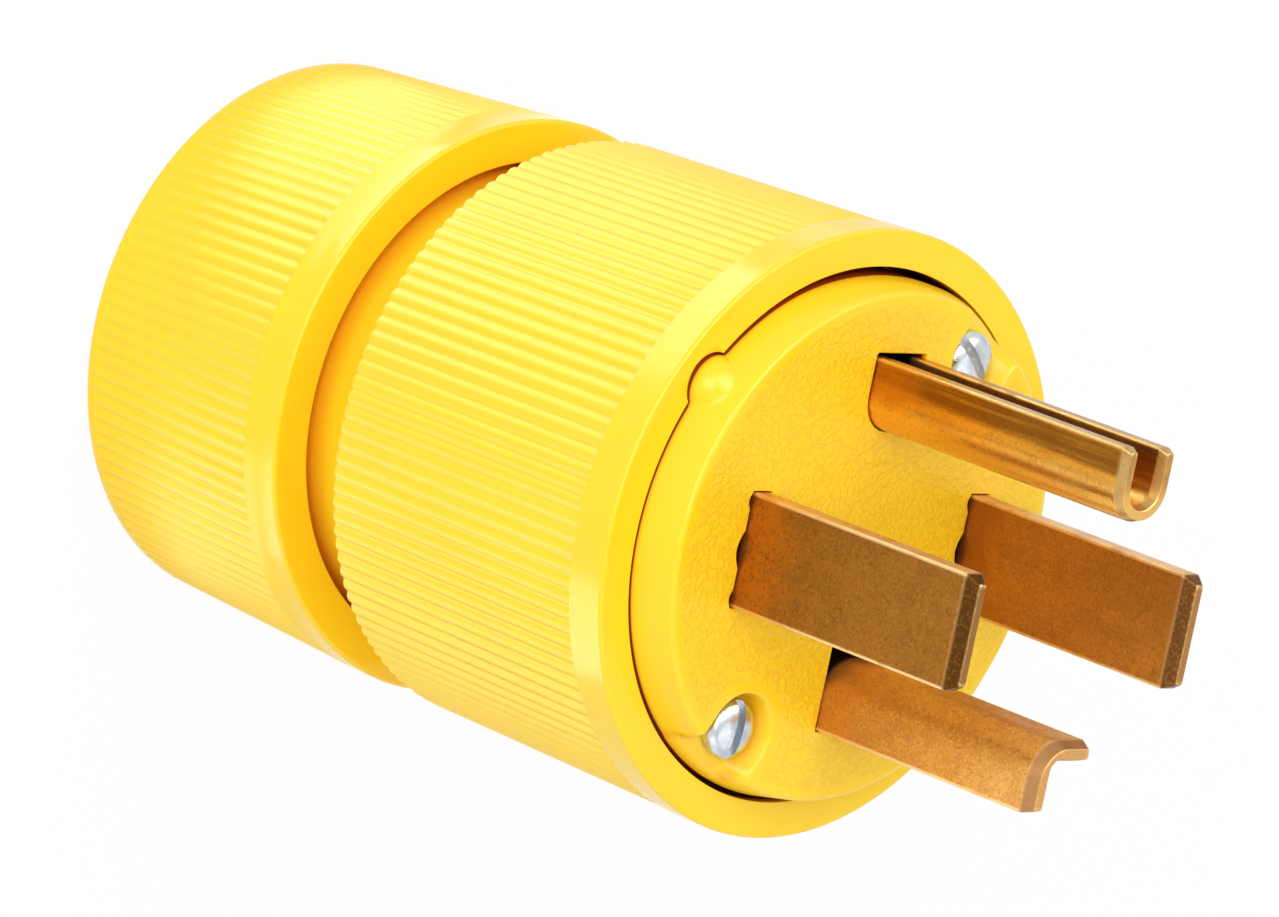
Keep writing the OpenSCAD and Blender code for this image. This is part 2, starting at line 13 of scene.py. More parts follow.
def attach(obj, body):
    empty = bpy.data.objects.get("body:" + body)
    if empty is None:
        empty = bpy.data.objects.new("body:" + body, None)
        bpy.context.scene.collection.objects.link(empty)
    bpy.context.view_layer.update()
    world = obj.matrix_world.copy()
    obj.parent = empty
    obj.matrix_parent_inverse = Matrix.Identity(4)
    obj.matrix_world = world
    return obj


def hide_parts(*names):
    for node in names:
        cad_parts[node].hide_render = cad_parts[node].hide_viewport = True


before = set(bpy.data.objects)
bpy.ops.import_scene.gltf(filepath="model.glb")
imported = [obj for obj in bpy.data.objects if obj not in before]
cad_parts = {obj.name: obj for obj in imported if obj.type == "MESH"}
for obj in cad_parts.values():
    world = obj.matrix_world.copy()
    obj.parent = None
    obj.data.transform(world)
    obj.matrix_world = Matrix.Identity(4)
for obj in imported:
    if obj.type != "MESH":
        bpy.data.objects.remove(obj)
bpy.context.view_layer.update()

Point = tuple[float, float, float]
Flat = tuple[float, float]
Loop = list[int]
Colour = tuple[float, float, float]
Look = tuple[bpy.types.NodeSocket, bpy.types.NodeSocket, bpy.types.NodeSocket]  # colour, roughness, relief

MM = 0.001
SHARPEST = 0.5  # least cosine by which a grown outline's corner is stretched
WELD = 1e-7  # distance below which two points of a flat region are one
UP, INWARD = (0.0, 0.0, 1.0), (0.0, -1.0, 0.0)  # along the axis, and from the channel blade to it
WHITE = (1.0, 1.0, 1.0, 1.0)
# marks of the mesh: edge wear with painted sheen, cut metal with painted shade in screw slots, painted shade
# in gaps, ribs
MARKS = ("wear_and_sheen", "sheared", "crevice", "ribbed")
LOG = logging.getLogger("plug")


class Slot(Enum):
    """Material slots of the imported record."""

    BODY = "yellow_body"
    FACE = "yellow_face"
    TERMINALS = "terminal_moulding"
    BLADE = "blade_metal"
    CLAMP = "clamp_steel"
    HOT_SCREW = "hot_screw_brass"
    NEUTRAL_SCREW = "neutral_screw_steel"
    GROUND_SCREW = "ground_screw_green"
    SCREW = "screw_zinc"
    INSERT = "insert_brass"
    COLLET = "collet_nylon"
    GROMMET = "grommet_rubber"


@dataclass(frozen=True)
class Corner:
    """Corner of an outline, with the radius of its round."""

    x: float
    y: float
    r: float = 0.0


def turn(point: Flat, degrees: float) -> Flat:
    """Turn a flat point about the axis."""
    a = math.radians(degrees)
    return (point[0] * math.cos(a) - point[1] * math.sin(a), point[0] * math.sin(a) + point[1] * math.cos(a))


def apart(one: float, two: float) -> float:
    """Give the angle between two directions, in degrees."""
    return abs((one - two + 180) % 360 - 180)


def spread(value: float, low: float, high: float) -> float:
    """Spread a value between two limits evenly over zero to one."""
    return min(1.0, max(0.0, (value - low) / (high - low)))


def eased(value: float, low: float, high: float) -> float:
    """Spread a value between two limits over zero to one, with a rounded end."""
    share = spread(value, low, high)
    return math.sqrt(share * (2 - share))


def faded(value: float, low: float, high: float) -> float:
    """Spread a value between two limits over zero to one, with both ends soft."""
    share = spread(value, low, high)
    return share * share * (3 - 2 * share)


def arc(centre: Flat, r: float, start: float, stop: float, steps: int) -> list[Flat]:
    """Lay points along an arc.

    Args:
        centre: Middle of the arc.
        r: Radius.
        start: First angle in degrees.
        stop: Last angle in degrees.
        steps: Number of steps between them.

    Returns:
        The points, both ends included.
    """
    points = []
    for i in range(steps + 1):
        a = math.radians(start + (stop - start) * i / steps)
        points.append((centre[0] + r * math.cos(a), centre[1] + r * math.sin(a)))
    return points


def round_corner(before: Corner, corner: Corner, after: Corner, steps: int) -> list[Flat]:
    """Replace one corner by an arc.

    Args:
        before: Corner ahead of it.
        corner: The corner to round.
        after: Corner behind it.
        steps: Steps along the arc.

    Returns:
        Points of the arc, or the corner itself where its radius is zero.
    """
    if corner.r <= 0:
        return [(corner.x, corner.y)]
    tip = Vector((corner.x, corner.y))
    back = (Vector((before.x, before.y)) - tip).normalized()
    ahead = (Vector((after.x, after.y)) - tip).normalized()
    half = back.angle(ahead) / 2
    centre = tip + (back + ahead).normalized() * (corner.r / math.sin(half))
    first = tip + back * (corner.r / math.tan(half)) - centre
    last = tip + ahead * (corner.r / math.tan(half)) - centre
    start = math.degrees(math.atan2(first.y, first.x))
    sweep = (math.degrees(math.atan2(last.y, last.x)) - start + 180) % 360 - 180
    return arc((centre.x, centre.y), corner.r, start, start + sweep, steps)


def rounded(corners: Sequence[Corner], steps: int = 5) -> list[Flat]:
    """Lay a closed outline through rounded corners.

    Args:
        corners: Corners in order.
        steps: Steps along each round.

    Returns:
        Points of the outline.
    """
    points: list[Flat] = []
    for i, corner in enumerate(corners):
        points += round_corner(corners[i - 1], corner, corners[(i + 1) % len(corners)], steps)
    return points


def grown(outline: Sequence[Flat], by: float) -> list[Flat]:
    """Move an anticlockwise outline outwards.

    Args:
        outline: Closed outline.
        by: Distance, negative for inwards.

    Returns:
        The moved outline, point for point.
    """
    moved = []
    for i, point in enumerate(outline):
        before, after = Vector(outline[i - 1]), Vector(outline[(i + 1) % len(outline)])
        here = Vector(point)
        one, two = (here - before).normalized(), (after - here).normalized()
        normals = Vector((one.y, -one.x)), Vector((two.y, -two.x))
        middle = (normals[0] + normals[1]).normalized()
        reach = by / max(SHARPEST, middle.dot(normals[0]))
        moved.append((here.x + middle.x * reach, here.y + middle.y * reach))
    return moved


def bulge(first: Flat, last: Flat, rise: float, steps: int = 10) -> list[Flat]:
    """Lay points along a shallow arc that swells to the right of its chord.

    Args:
        first: Start of the arc.
        last: End of the arc.
        rise: Height of the arc over its chord.
        steps: Steps along it.

    Returns:
        The points, both ends included.
    """
    one, two = Vector(first), Vector(last)
    side = Vector((two.y - one.y, one.x - two.x)).normalized()
    points = []
    for k in range(steps + 1):
        spot = one.lerp(two, k / steps) + side * (rise * math.sin(math.pi * k / steps))
        points.append((spot.x, spot.y))
    return points


def inside(point: Flat, outline: Sequence[Flat]) -> bool:
    """Tell whether a point lies inside an outline.

    Args:
        point: The point.
        outline: Closed outline.

    Returns:
        True where it lies inside.
    """
    x, y = point
    found = False
    for i, (x1, y1) in enumerate(outline):
        x0, y0 = outline[i - 1]
        if (y0 > y) != (y1 > y) and x < (x1 - x0) * (y - y0) / (y1 - y0) + x0:
            found = not found
    return found


class Shell:
    """Points and faces of one piece, gathered in millimetres."""

    def __init__(self) -> None:
        """Start an empty shell."""
        self.points: list[Point] = []
        self.faces: list[tuple[int, ...]] = []
        self.marks: dict[str, list[float]] = {label: [] for label in MARKS}

    def ring(self, points: Iterable[Point], **marks: Sequence[float] | float) -> Loop:
        """Add a loop of points.

        Args:
            points: Points in order.
            marks: Value of each mark at each point, or one value for all of them.

        Returns:
            Places of the points in the shell.
        """
        points = list(points)
        first = len(self.points)
        self.points += points
        for label, values in self.marks.items():
            mark = marks.get(label, 0.0)
            values += [mark] * len(points) if isinstance(mark, float) else list(mark)
        return list(range(first, first + len(points)))

    def flat(self, outline: Sequence[Flat], z: float, **marks: float) -> Loop:
        """Add an outline at one height."""
        return self.ring(((x, y, z) for x, y in outline), **marks)

    def bridge(self, low: Loop, high: Loop) -> None:
        """Join two loops of the same count with a wall."""
        for i in range(len(low)):
            self.faces.append((low[i - 1], low[i], high[i], high[i - 1]))

    def fill(self, outer: Loop, holes: Sequence[Loop], up: bool) -> None:
        """Close a flat region between a loop and the holes in it.

        Args:
            outer: Loop around the region.
            holes: Loops of its holes.
            up: True where the region faces +Z.
        """
        loops = [outer, *holes]
        places = [i for loop in loops for i in loop]
        outlines = [[self.points[i][:2] for i in loop] for loop in loops]
        edges, first = [], 0
        for loop in loops:
            edges += [(first + i, first + (i + 1) % len(loop)) for i in range(len(loop))]
            first += len(loop)
        flat = [Vector(self.points[i][:2]) for i in places]
        made = delaunay_2d_cdt(flat, edges, [], 0, WELD)
        for face in made[2]:
            corners = [made[0][i] for i in face]
            middle = sum(corners, Vector((0.0, 0.0))) / len(corners)
            at = (middle.x, middle.y)
            if not inside(at, outlines[0]) or any(inside(at, hole) for hole in outlines[1:]):
                continue
            ids = [places[made[3][i][0]] for i in face]
            area = (corners[1] - corners[0]).cross(corners[2] - corners[0])
            self.faces.append(tuple(ids if (area > 0) == up else reversed(ids)))

    def lathe(self, profile: Sequence[Flat], steps: int, **marks: float) -> None:
        """Turn a profile that starts and ends on the axis.

        Args:
            profile: Radius and height of each point, up the outside.
            steps: Steps around the axis.
            marks: Value of each mark on the whole surface.
        """
        loops: list[Loop] = []
        for r, z in profile[1:-1]:
            loops.append(self.flat([turn((r, 0.0), 360 * i / steps) for i in range(steps)], z, **marks))
        for low, high in zip(loops, loops[1:]):
            self.bridge(low, high)
        foot = self.ring([(0.0, 0.0, profile[0][1])])[0]
        top = self.ring([(0.0, 0.0, profile[-1][1])])[0]
        for i in range(steps):
            self.faces.append((loops[0][i], loops[0][i - 1], foot))
            self.faces.append((loops[-1][i - 1], loops[-1][i], top))

    def prism(self, outline: Sequence[Flat], holes: Sequence[Sequence[Flat]], low: float, high: float,
              **marks: float) -> None:
        """Raise an outline with holes between two heights.

        Args:
            outline: Outer outline, anticlockwise.
            holes: Outlines of the holes, anticlockwise.
            low: Lower height.
            high: Upper height.
            marks: Value of each mark on the whole surface.
        """
        floors = [self.flat(path, low, **marks) for path in (outline, *holes)]
        tops = [self.flat(path, high, **marks) for path in (outline, *holes)]
        self.bridge(floors[0], tops[0])
        for floor, top in zip(floors[1:], tops[1:]):
            self.bridge(top, floor)
        self.fill(floors[0], floors[1:], False)
        self.fill(tops[0], tops[1:], True)

    def add(self, other: "Shell", place: Matrix) -> None:
        """Add another shell at a place.

        Args:
            other: Shell to add.
            place: Where it goes.
        """
        first = len(self.points)
        self.points += [tuple(place @ Vector(p)) for p in other.points]
        for label, values in self.marks.items():
            values += other.marks[label]
        self.faces += [tuple(first + i for i in face) for face in other.faces]

    def make(self, name: str, crease: float = 35.0) -> bpy.types.Object:
        """Turn the shell into an object.

        Args:
            name: Name of the piece.
            crease: Angle in degrees above which an edge stays sharp.

        Returns:
            The new object, in metres, linked into the scene.
        """
        mesh = bpy.data.meshes.new(name)
        mesh.from_pydata([tuple(c * MM for c in p) for p in self.points], [], self.faces)
        for label, values in self.marks.items():
            mesh.attributes.new(label, "FLOAT", "POINT").data.foreach_set("value", values)
        piece = bpy.data.objects.new(name, mesh)
        bpy.context.scene.collection.objects.link(piece)
        smooth(piece, crease)
        return piece


def smooth(piece: bpy.types.Object, crease: float) -> None:
    """Shade a piece smooth between edges sharper than an angle in degrees."""
    piece.data.shade_smooth()
    piece.data.set_sharp_from_angle(angle=math.radians(crease))


def cut(piece: bpy.types.Object, tool: bpy.types.Object, crease: float) -> None:
    """Cut a tool solid out of a piece and throw the tool away.

    Args:
        piece: Piece to change.
        tool: Solid that is cut out.
        crease: Angle in degrees above which an edge stays sharp.
    """
    modifier = piece.modifiers.new("cut", "BOOLEAN")
    modifier.operation, modifier.solver, modifier.object = "DIFFERENCE", "EXACT", tool
    graph = bpy.context.evaluated_depsgraph_get()
    graph.update()
    old, mesh = piece.data, bpy.data.meshes.new_from_object(piece.evaluated_get(graph))
    piece.modifiers.clear()
    piece.data = mesh
    mesh.name = old.name
    bpy.data.meshes.remove(old)
    worn_and_sheened = tool.data
    bpy.data.objects.remove(tool)
    bpy.data.meshes.remove(worn_and_sheened)
    smooth(piece, crease)


def evened(piece: bpy.types.Object) -> None:
    """Keep large flats flat next to narrow rounds."""
    modifier = piece.modifiers.new("flats", "WEIGHTED_NORMAL")
    modifier.keep_sharp, modifier.weight = True, 80


class Graph:
    """Short hand for building a node tree."""

    def __init__(self, tree: bpy.types.NodeTree) -> None:
        """Work on one node tree."""
        self.tree = tree

    def add(self, kind: str, feeds: dict[Any, Any] | None = None, **settings: Any) -> bpy.types.Node:
        """Add a node.

        Args:
            kind: Blender's name of the node type, without its ShaderNode prefix.
            feeds: Value or source socket of each input.
            settings: Other properties of the node.

        Returns:
            The new node.
        """
        prefix = "" if kind.startswith("Node") else "ShaderNode"
        node = self.tree.nodes.new(prefix + kind)
        for name, value in settings.items():
            setattr(node, name, value)
        for name, value in (feeds or {}).items():
            if isinstance(value, bpy.types.NodeSocket):
                self.tree.links.new(value, node.inputs[name])
            else:
                node.inputs[name].default_value = value
        return node

    def maths(self, operation: str, one: Any, two: Any = 0.0, clamp: bool = False) -> bpy.types.NodeSocket:
        """Add a maths node and give back its result."""
        return self.add("Math", {0: one, 1: two}, operation=operation, use_clamp=clamp).outputs[0]

    def times(self, one: Any, two: Any, clamp: bool = False) -> bpy.types.NodeSocket:
        """Multiply two values."""
        return self.maths("MULTIPLY", one, two, clamp)

    def weighted(self, one: Any, share: float, two: Any, rest: float) -> bpy.types.NodeSocket:
        """Add two values, each with a weight of its own."""
        return self.maths("ADD", self.times(one, share), self.times(two, rest))

    def per(self, size: bpy.types.NodeSocket) -> bpy.types.NodeSocket:
        """Give how many of a size fit into one millimetre."""
        return self.maths("DIVIDE", 1.0, size)

    def between(self, share: bpy.types.NodeSocket, limits: Flat) -> bpy.types.NodeSocket:
        """Spread zero to one over two limits."""
        return self.add("MapRange", {"Value": share, "To Min": limits[0], "To Max": limits[1]}).outputs[0]

    def mark(self, label: str) -> bpy.types.NodeSocket:
        """Read a mark of the mesh."""
        return self.add("Attribute", attribute_name=label).outputs["Fac"]

    def link(self, source: bpy.types.NodeSocket, target: bpy.types.NodeSocket) -> None:
        """Feed one socket from another."""
        self.tree.links.new(source, target)

    def ramp(self, source: bpy.types.NodeSocket, low: float, high: float) -> bpy.types.NodeSocket:
        """Spread a value between two limits over zero to one, smoothly.

        Args:
            source: Value to spread.
            low: Value that gives zero.
            high: Value that gives one.

        Returns:
            The spread value.
        """
        feeds = {"Value": source, "From Min": low, "From Max": high}
        return self.add("MapRange", feeds, interpolation_type="SMOOTHSTEP").outputs["Result"]

    def blend(self, mask: Any, one: Any, two: Any) -> bpy.types.NodeSocket:
        """Blend two colours by a mask.

        Args:
            mask: Share of the second colour.
            one: First colour or socket.
            two: Second colour or socket.

        Returns:
            The blended colour.
        """
        colours = [c if isinstance(c, bpy.types.NodeSocket) else (*c, 1.0) for c in (one, two)]
        node = self.add("Mix", {0: mask, 6: colours[0], 7: colours[1]}, data_type="RGBA")
        return node.outputs[2]

    def millimetres(self) -> bpy.types.NodeSocket:
        """Give the place on the piece in millimetres."""
        place = self.add("TexCoord").outputs["Object"]
        return self.add("VectorMath", {0: place, 1: (1 / MM,) * 3}, operation="MULTIPLY").outputs[0]

    def noise(self, place: Any, scale: Any, detail: float = 2.0, rough: float = 0.5) -> bpy.types.NodeSocket:
        """Add a noise texture.

        Args:
            place: Coordinates.
            scale: Waves per unit of the coordinates.
            detail: Octaves.
            rough: Strength of the finer octaves.

        Returns:
            The noise value.
        """
        feeds = {"Vector": place, "Scale": scale, "Detail": detail, "Roughness": rough}
        return self.add("TexNoise", feeds).outputs[0]


class Effects:
    """Shader node groups that several finishes share."""

    def __init__(self) -> None:
        """Build each group once."""
        self.grain = self.moulded_grain()
        self.worn_and_sheened = self.edge_wear_and_sheen()
        self.lines = self.draw_lines()
        self.stain = self.tarnish()
        self.crevice = self.crevices()

    @staticmethod
    def group(name: str, inputs: dict[str, float], outputs: Sequence[str]) -> tuple[Graph, Any, Any]:
        """Start a node group of float sockets.

        Args:
            name: Name of the group.
            inputs: Name and first value of each input.
            outputs: Names of the outputs.

        Returns:
            The graph, the group's input sockets and its output sockets.
        """
        tree = bpy.data.node_groups.new(name, "ShaderNodeTree")
        for label, value in inputs.items():
            socket = tree.interface.new_socket(label, in_out="INPUT", socket_type="NodeSocketFloat")
            socket.default_value = value
        for label in outputs:
            tree.interface.new_socket(label, in_out="OUTPUT", socket_type="NodeSocketFloat")
        graph = Graph(tree)
        return graph, graph.add("NodeGroupInput").outputs, graph.add("NodeGroupOutput").inputs

    def moulded_grain(self) -> bpy.types.NodeTree:
        """Build the fine surface of a moulding.

        Returns:
            Group with a slow tone change and a fine height.
        """
        graph, inputs, outputs = self.group("moulded_grain", {"Cell": 0.3}, ("Tone", "Height"))
        place = graph.millimetres()
        fine = graph.noise(place, graph.per(inputs["Cell"]), detail=3.0, rough=0.6)
        slow = graph.noise(place, scale=0.09, detail=3.0)
        tone = graph.weighted(slow, 0.75, fine, 0.25)
        graph.link(graph.ramp(tone, low=0.3, high=0.7), outputs["Tone"])
        graph.link(fine, outputs["Height"])
        return graph.tree

    def edge_wear_and_sheen(self) -> bpy.types.NodeTree:
        """Build the rubbed look of edges, with painted sheen where the mark carries it.

        Returns:
            Group with a mask that follows the worn edges of a piece and the painted sheen that its mark
            carries.
        """
        graph, inputs, outputs = self.group("edge_wear_and_sheen", {"Cell": 0.5}, ("Mask",))
        edge = graph.mark("wear_and_sheen")
        break_up = graph.noise(graph.millimetres(), graph.per(inputs["Cell"]), detail=3.0, rough=0.6)
        graph.link(graph.times(edge, graph.ramp(break_up, low=0.1, high=0.55), True), outputs["Mask"])
        return graph.tree

    def draw_lines(self) -> bpy.types.NodeTree:
        """Build fine lines that run along the axis.

        Returns:
            Group with a mask and a height of lengthwise lines.
        """
        graph, inputs, outputs = self.group("draw_lines", {"Pitch": 0.3}, ("Mask", "Height"))
        stretch = {0: graph.millimetres(), 1: (1, 1, 0.03)}
        place = graph.add("VectorMath", stretch, operation="MULTIPLY").outputs[0]
        density = graph.per(inputs["Pitch"])
        fine = graph.noise(place, density, detail=4.0, rough=0.65)
        broad = graph.noise(place, graph.times(density, 0.3))
        graph.link(graph.ramp(graph.weighted(fine, 0.5, broad, 0.5), low=0.38, high=0.62), outputs["Mask"])
        graph.link(fine, outputs["Height"])
        return graph.tree

    def tarnish(self) -> bpy.types.NodeTree:
        """Build the clouds and specks of tarnished metal.

        Returns:
            Group with a cloud mask and a speck mask.
        """
        graph, inputs, outputs = self.group("tarnish", {"Cloud": 5.0, "Speck": 0.25}, ("Clouds", "Specks"))
        place = graph.millimetres()
        cloud = graph.noise(place, graph.per(inputs["Cloud"]), detail=5.0, rough=0.6)
        speck = graph.noise(place, graph.per(inputs["Speck"]), detail=3.0, rough=0.7)
        graph.link(graph.ramp(cloud, low=0.35, high=0.68), outputs["Clouds"])
        graph.link(graph.ramp(speck, low=0.48, high=0.7), outputs["Specks"])
        return graph.tree

    def crevices(self) -> bpy.types.NodeTree:
        """Build the painted shade of narrow gaps.

        Returns:
            Group with a mask of the warm painted shade and a mask of the dark painted shade.
        """
        graph, inputs, outputs = self.group("crevices", {"Cell": 2.0}, ("Warm", "Dark"))
        depth = graph.mark("crevice")
        drift = graph.noise(graph.millimetres(), graph.per(inputs["Cell"]), detail=3.0, rough=0.6)
        reach = graph.times(depth, graph.ramp(drift, low=-0.9, high=0.5))
        graph.link(graph.ramp(reach, low=0.0, high=0.5), outputs["Warm"])
        graph.link(graph.ramp(depth, low=0.55, high=0.95), outputs["Dark"])
        return graph.tree


@dataclass(frozen=True)
class Levels:
    """Heights and radii that the pieces share."""

    cap: float = 25.4
    sleeve: float = 32.5
    floor: float = 35.5
    plate: float = 55.0
    root: float = 53.0
    seat: float = 58.5
    front: float = 65.7
    pocket: float = 67.3
    face: float = 69.5
    screw_pitch: float = 18.8
    screw_angle: float = 58.3
    screw_r: float = 1.75
    screw_end: float = 47.6
    nub_pitch: float = 21.75
    nub_angle: float = 144.7

    def screw(self, index: int) -> Flat:
        """Give the place of an assembly screw."""
        return turn((self.screw_pitch, 0.0), self.screw_angle + 180 * index)

    def nub(self) -> Flat:
        """Give the place of the locating nub."""
        return turn((self.nub_pitch, 0.0), self.nub_angle)


LEVELS = Levels()


class Finish:
    """Base of the finishes: makes a material from what a finish lays out."""

    name: str
    depth: float
    specular: float = 0.5
    metal: float = 0.0

    def look(self, graph: Graph, effects: Effects) -> Look:
        """Lay out the surface, which each finish does in its own way."""
        raise NotImplementedError

    def material(self, effects: Effects) -> bpy.types.Material:
        """Make the material.

        Args:
            effects: Shared node groups.

        Returns:
            The material.
        """
        material = bpy.data.materials.new(self.name)
        material.use_nodes = True
        graph, shader = Graph(material.node_tree), material.node_tree.nodes["Principled BSDF"]
        shader.inputs["Specular IOR Level"].default_value = self.specular
        shader.inputs["Metallic"].default_value = self.metal
        colour, roughness, height = self.look(graph, effects)
        bump = graph.add("Bump", {"Height": height, "Strength": 1.0, "Distance": self.depth * MM})
        graph.link(colour, shader.inputs["Base Color"])
        graph.link(roughness, shader.inputs["Roughness"])
        graph.link(bump.outputs[0], shader.inputs["Normal"])
        return material

    @staticmethod
    def place(graph: Graph, tree: bpy.types.NodeTree, **values: float) -> bpy.types.Node:
        """Place a shared effect in a material.

        Args:
            graph: Graph of the material.
            tree: Node group of the effect.
            values: The material's own value of each input.

        Returns:
            The group's node.
        """
        node = graph.add("Group", node_tree=tree)
        for name, value in values.items():
            node.inputs[name].default_value = value
        return node


@dataclass(frozen=True)
class Moulding(Finish):
    """Moulded plastic or rubber with a fine grain."""

    name: str
    colour: Colour
    other: Colour
    gloss: tuple[float, float]
    cell: float = 0.3
    depth: float = 0.004
    specular: float = 0.4

    def look(self, graph: Graph, effects: Effects) -> Look:
        """Lay out the surface.

        Args:
            graph: Graph of the material.
            effects: Shared node groups.

        Returns:
            Sources of the colour, the roughness and the relief.
        """
        grain = self.place(graph, effects.grain, Cell=self.cell)
        colour = graph.blend(grain.outputs["Tone"], self.colour, self.other)
        roughness = graph.between(grain.outputs["Tone"], self.gloss)
        return colour, roughness, grain.outputs["Height"]


@dataclass(frozen=True)
class PaintedGapShade:
    """Painted shade of the body's plastic deep in its gaps: a warm colour and a dark one."""

    warm_shade: Colour = (0.96, 0.46, 0.012)
    dark: Colour = (0.30, 0.045, 0.009)
    cell: float = 2.0

    def over(self, graph: Graph, effects: Effects, colour: Any) -> bpy.types.NodeSocket:
        """Paint shade over a colour where the gaps are.

        Args:
            graph: Graph of the material.
            effects: Shared node groups.
            colour: Source of the plastic's colour.

        Returns:
            The colour with its painted shade.
        """
        shaded_gaps = Finish.place(graph, effects.crevice, Cell=self.cell)
        warmed = graph.blend(shaded_gaps.outputs["Warm"], colour, self.warm_shade)
        return graph.blend(shaded_gaps.outputs["Dark"], warmed, self.dark)


@dataclass(frozen=True)
class RibbedBody(Finish):
    """Moulded plastic with smooth, glossy bands and duller ribs."""

    name: str
    colour: Colour
    other: Colour
    gloss: tuple[float, float]
    painted_shade: PaintedGapShade = PaintedGapShade()
    cell: float = 0.35
    cloudy: float = 0.2
    depth: float = 0.002
    specular: float = 0.4

    def look(self, graph: Graph, effects: Effects) -> Look:
        """Lay out the surface.

        Args:
            graph: Graph of the material.
            effects: Shared node groups.

        Returns:
            Sources of the colour, the roughness and the relief.
        """
        grain = self.place(graph, effects.grain, Cell=self.cell)
        body = graph.blend(grain.outputs["Tone"], self.colour, self.other)
        dull = graph.maths("ADD", graph.mark("ribbed"), graph.times(grain.outputs["Tone"], self.cloudy), True)
        # painted shade of the gaps over the body's colour
        colour, roughness = self.painted_shade.over(graph, effects, body), graph.between(dull, self.gloss)
        return colour, roughness, grain.outputs["Height"]


@dataclass(frozen=True)
class TexturedFace(Finish):
    """Moulded plastic whose flat top has an orange-peel texture inside a smooth border, with painted shade in
    the peel's low parts.
    """

    name: str
    colour: Colour
    other: Colour
    groove: Colour
    gloss: tuple[float, float]
    top: float
    border_r: float
    pocket: Flat
    pocket_r: float
    painted_shade: PaintedGapShade = PaintedGapShade()
    cell: float = 0.85
    finer: float = 2.2  # fine lumps to one lump of the peel
    groove_shade_share: float = 0.44
    grain_cell: float = 0.3
    grain_share: float = 0.06
    top_fade: tuple[float, float] = (0.08, 0.02)  # depths below the top between which the peel starts
    border_fade: float = 0.5
    depth: float = 0.055
    specular: float = 0.4

    def border(self, graph: Graph, place: bpy.types.NodeSocket) -> bpy.types.NodeSocket:
        """Mask the textured part of the top.

        Args:
            graph: Graph of the material.
            place: Place on the piece in millimetres.

        Returns:
            One on the texture, zero on the border, the walls and around the pockets.
        """
        axes = graph.add("SeparateXYZ", {0: place})
        flat = graph.add("CombineXYZ", {0: axes.outputs[0], 1: axes.outputs[1]}).outputs[0]
        reach = graph.add("VectorMath", {0: flat}, operation="LENGTH").outputs["Value"]
        level = graph.ramp(axes.outputs[2], self.top - self.top_fade[0], self.top - self.top_fade[1])
        mask = graph.times(level, graph.ramp(reach, self.border_r, self.border_r - self.border_fade))
        for side in (1, -1):
            centre = (side * self.pocket[0], side * self.pocket[1], 0.0)
            away = graph.add("VectorMath", {0: flat, 1: centre}, operation="DISTANCE").outputs["Value"]
            mask = graph.times(mask, graph.ramp(away, self.pocket_r, self.pocket_r + self.border_fade))
        return mask

    def look(self, graph: Graph, effects: Effects) -> Look:
        """Lay out the surface.

        Args:
            graph: Graph of the material.
            effects: Shared node groups.

        Returns:
            Sources of the colour, the roughness and the relief.
        """
        place = graph.millimetres()
        grain = self.place(graph, effects.grain, Cell=self.grain_cell)
        lumps = graph.noise(place, 1 / self.cell, rough=0.45)
        ridge = graph.maths("ABSOLUTE", graph.maths("SUBTRACT", lumps, 0.5))
        pillow = graph.ramp(ridge, low=0.0, high=0.1)
        fine = graph.noise(place, self.finer / self.cell)
        mask = self.border(graph, place)
        peel = graph.maths("SUBTRACT", graph.weighted(pillow, 0.5, fine, 0.5), 0.5)
        relief = graph.times(grain.outputs["Height"], self.grain_share)
        height = graph.maths("ADD", graph.times(peel, mask), relief)
        body = graph.blend(grain.outputs["Tone"], self.colour, self.other)
        # painted shade: the peel's grooves and pits take the groove colour
        grooves, pits = graph.maths("SUBTRACT", 1.0, pillow), graph.ramp(fine, low=0.62, high=0.38)
        shade = graph.times(graph.times(graph.weighted(grooves, 0.6, pits, 0.4), mask), self.groove_shade_share)
        # painted shade of the gaps over the face's colour
        colour = self.painted_shade.over(graph, effects, graph.blend(shade, body, self.groove))
        return colour, graph.between(mask, self.gloss), height


@dataclass(frozen=True)
class Tone:
    """Change of colour along one direction, from its start to its stop in millimetres."""

    colour: Colour
    way: Point
    start: float
    stop: float
    amount: float = 0.7
    ragged: float = 4.0

    def over(self, graph: Graph, place: bpy.types.NodeSocket, drift: bpy.types.NodeSocket,
             colour: Any) -> bpy.types.NodeSocket:
        """Lay the tone over a colour.

        Args:
            graph: Graph of the material.
            place: Place on the piece in millimetres.
            drift: Slow noise that makes the border ragged.
            colour: Source of the colour below.

        Returns:
            Source of the changed colour.
        """
        along = graph.add("VectorMath", {0: place, 1: self.way}, operation="DOT_PRODUCT").outputs["Value"]
        shift = graph.times(graph.maths("SUBTRACT", drift, 0.5), 2 * self.ragged)
        mask = graph.ramp(graph.maths("ADD", along, shift), self.start, self.stop)
        return graph.blend(graph.times(mask, self.amount), colour, self.colour)


SLOT_SHADE = Tone((0.012, 0.007, 0.003), UP, LEVELS.face - 0.1, LEVELS.face - 0.7, 0.97, 0.0)


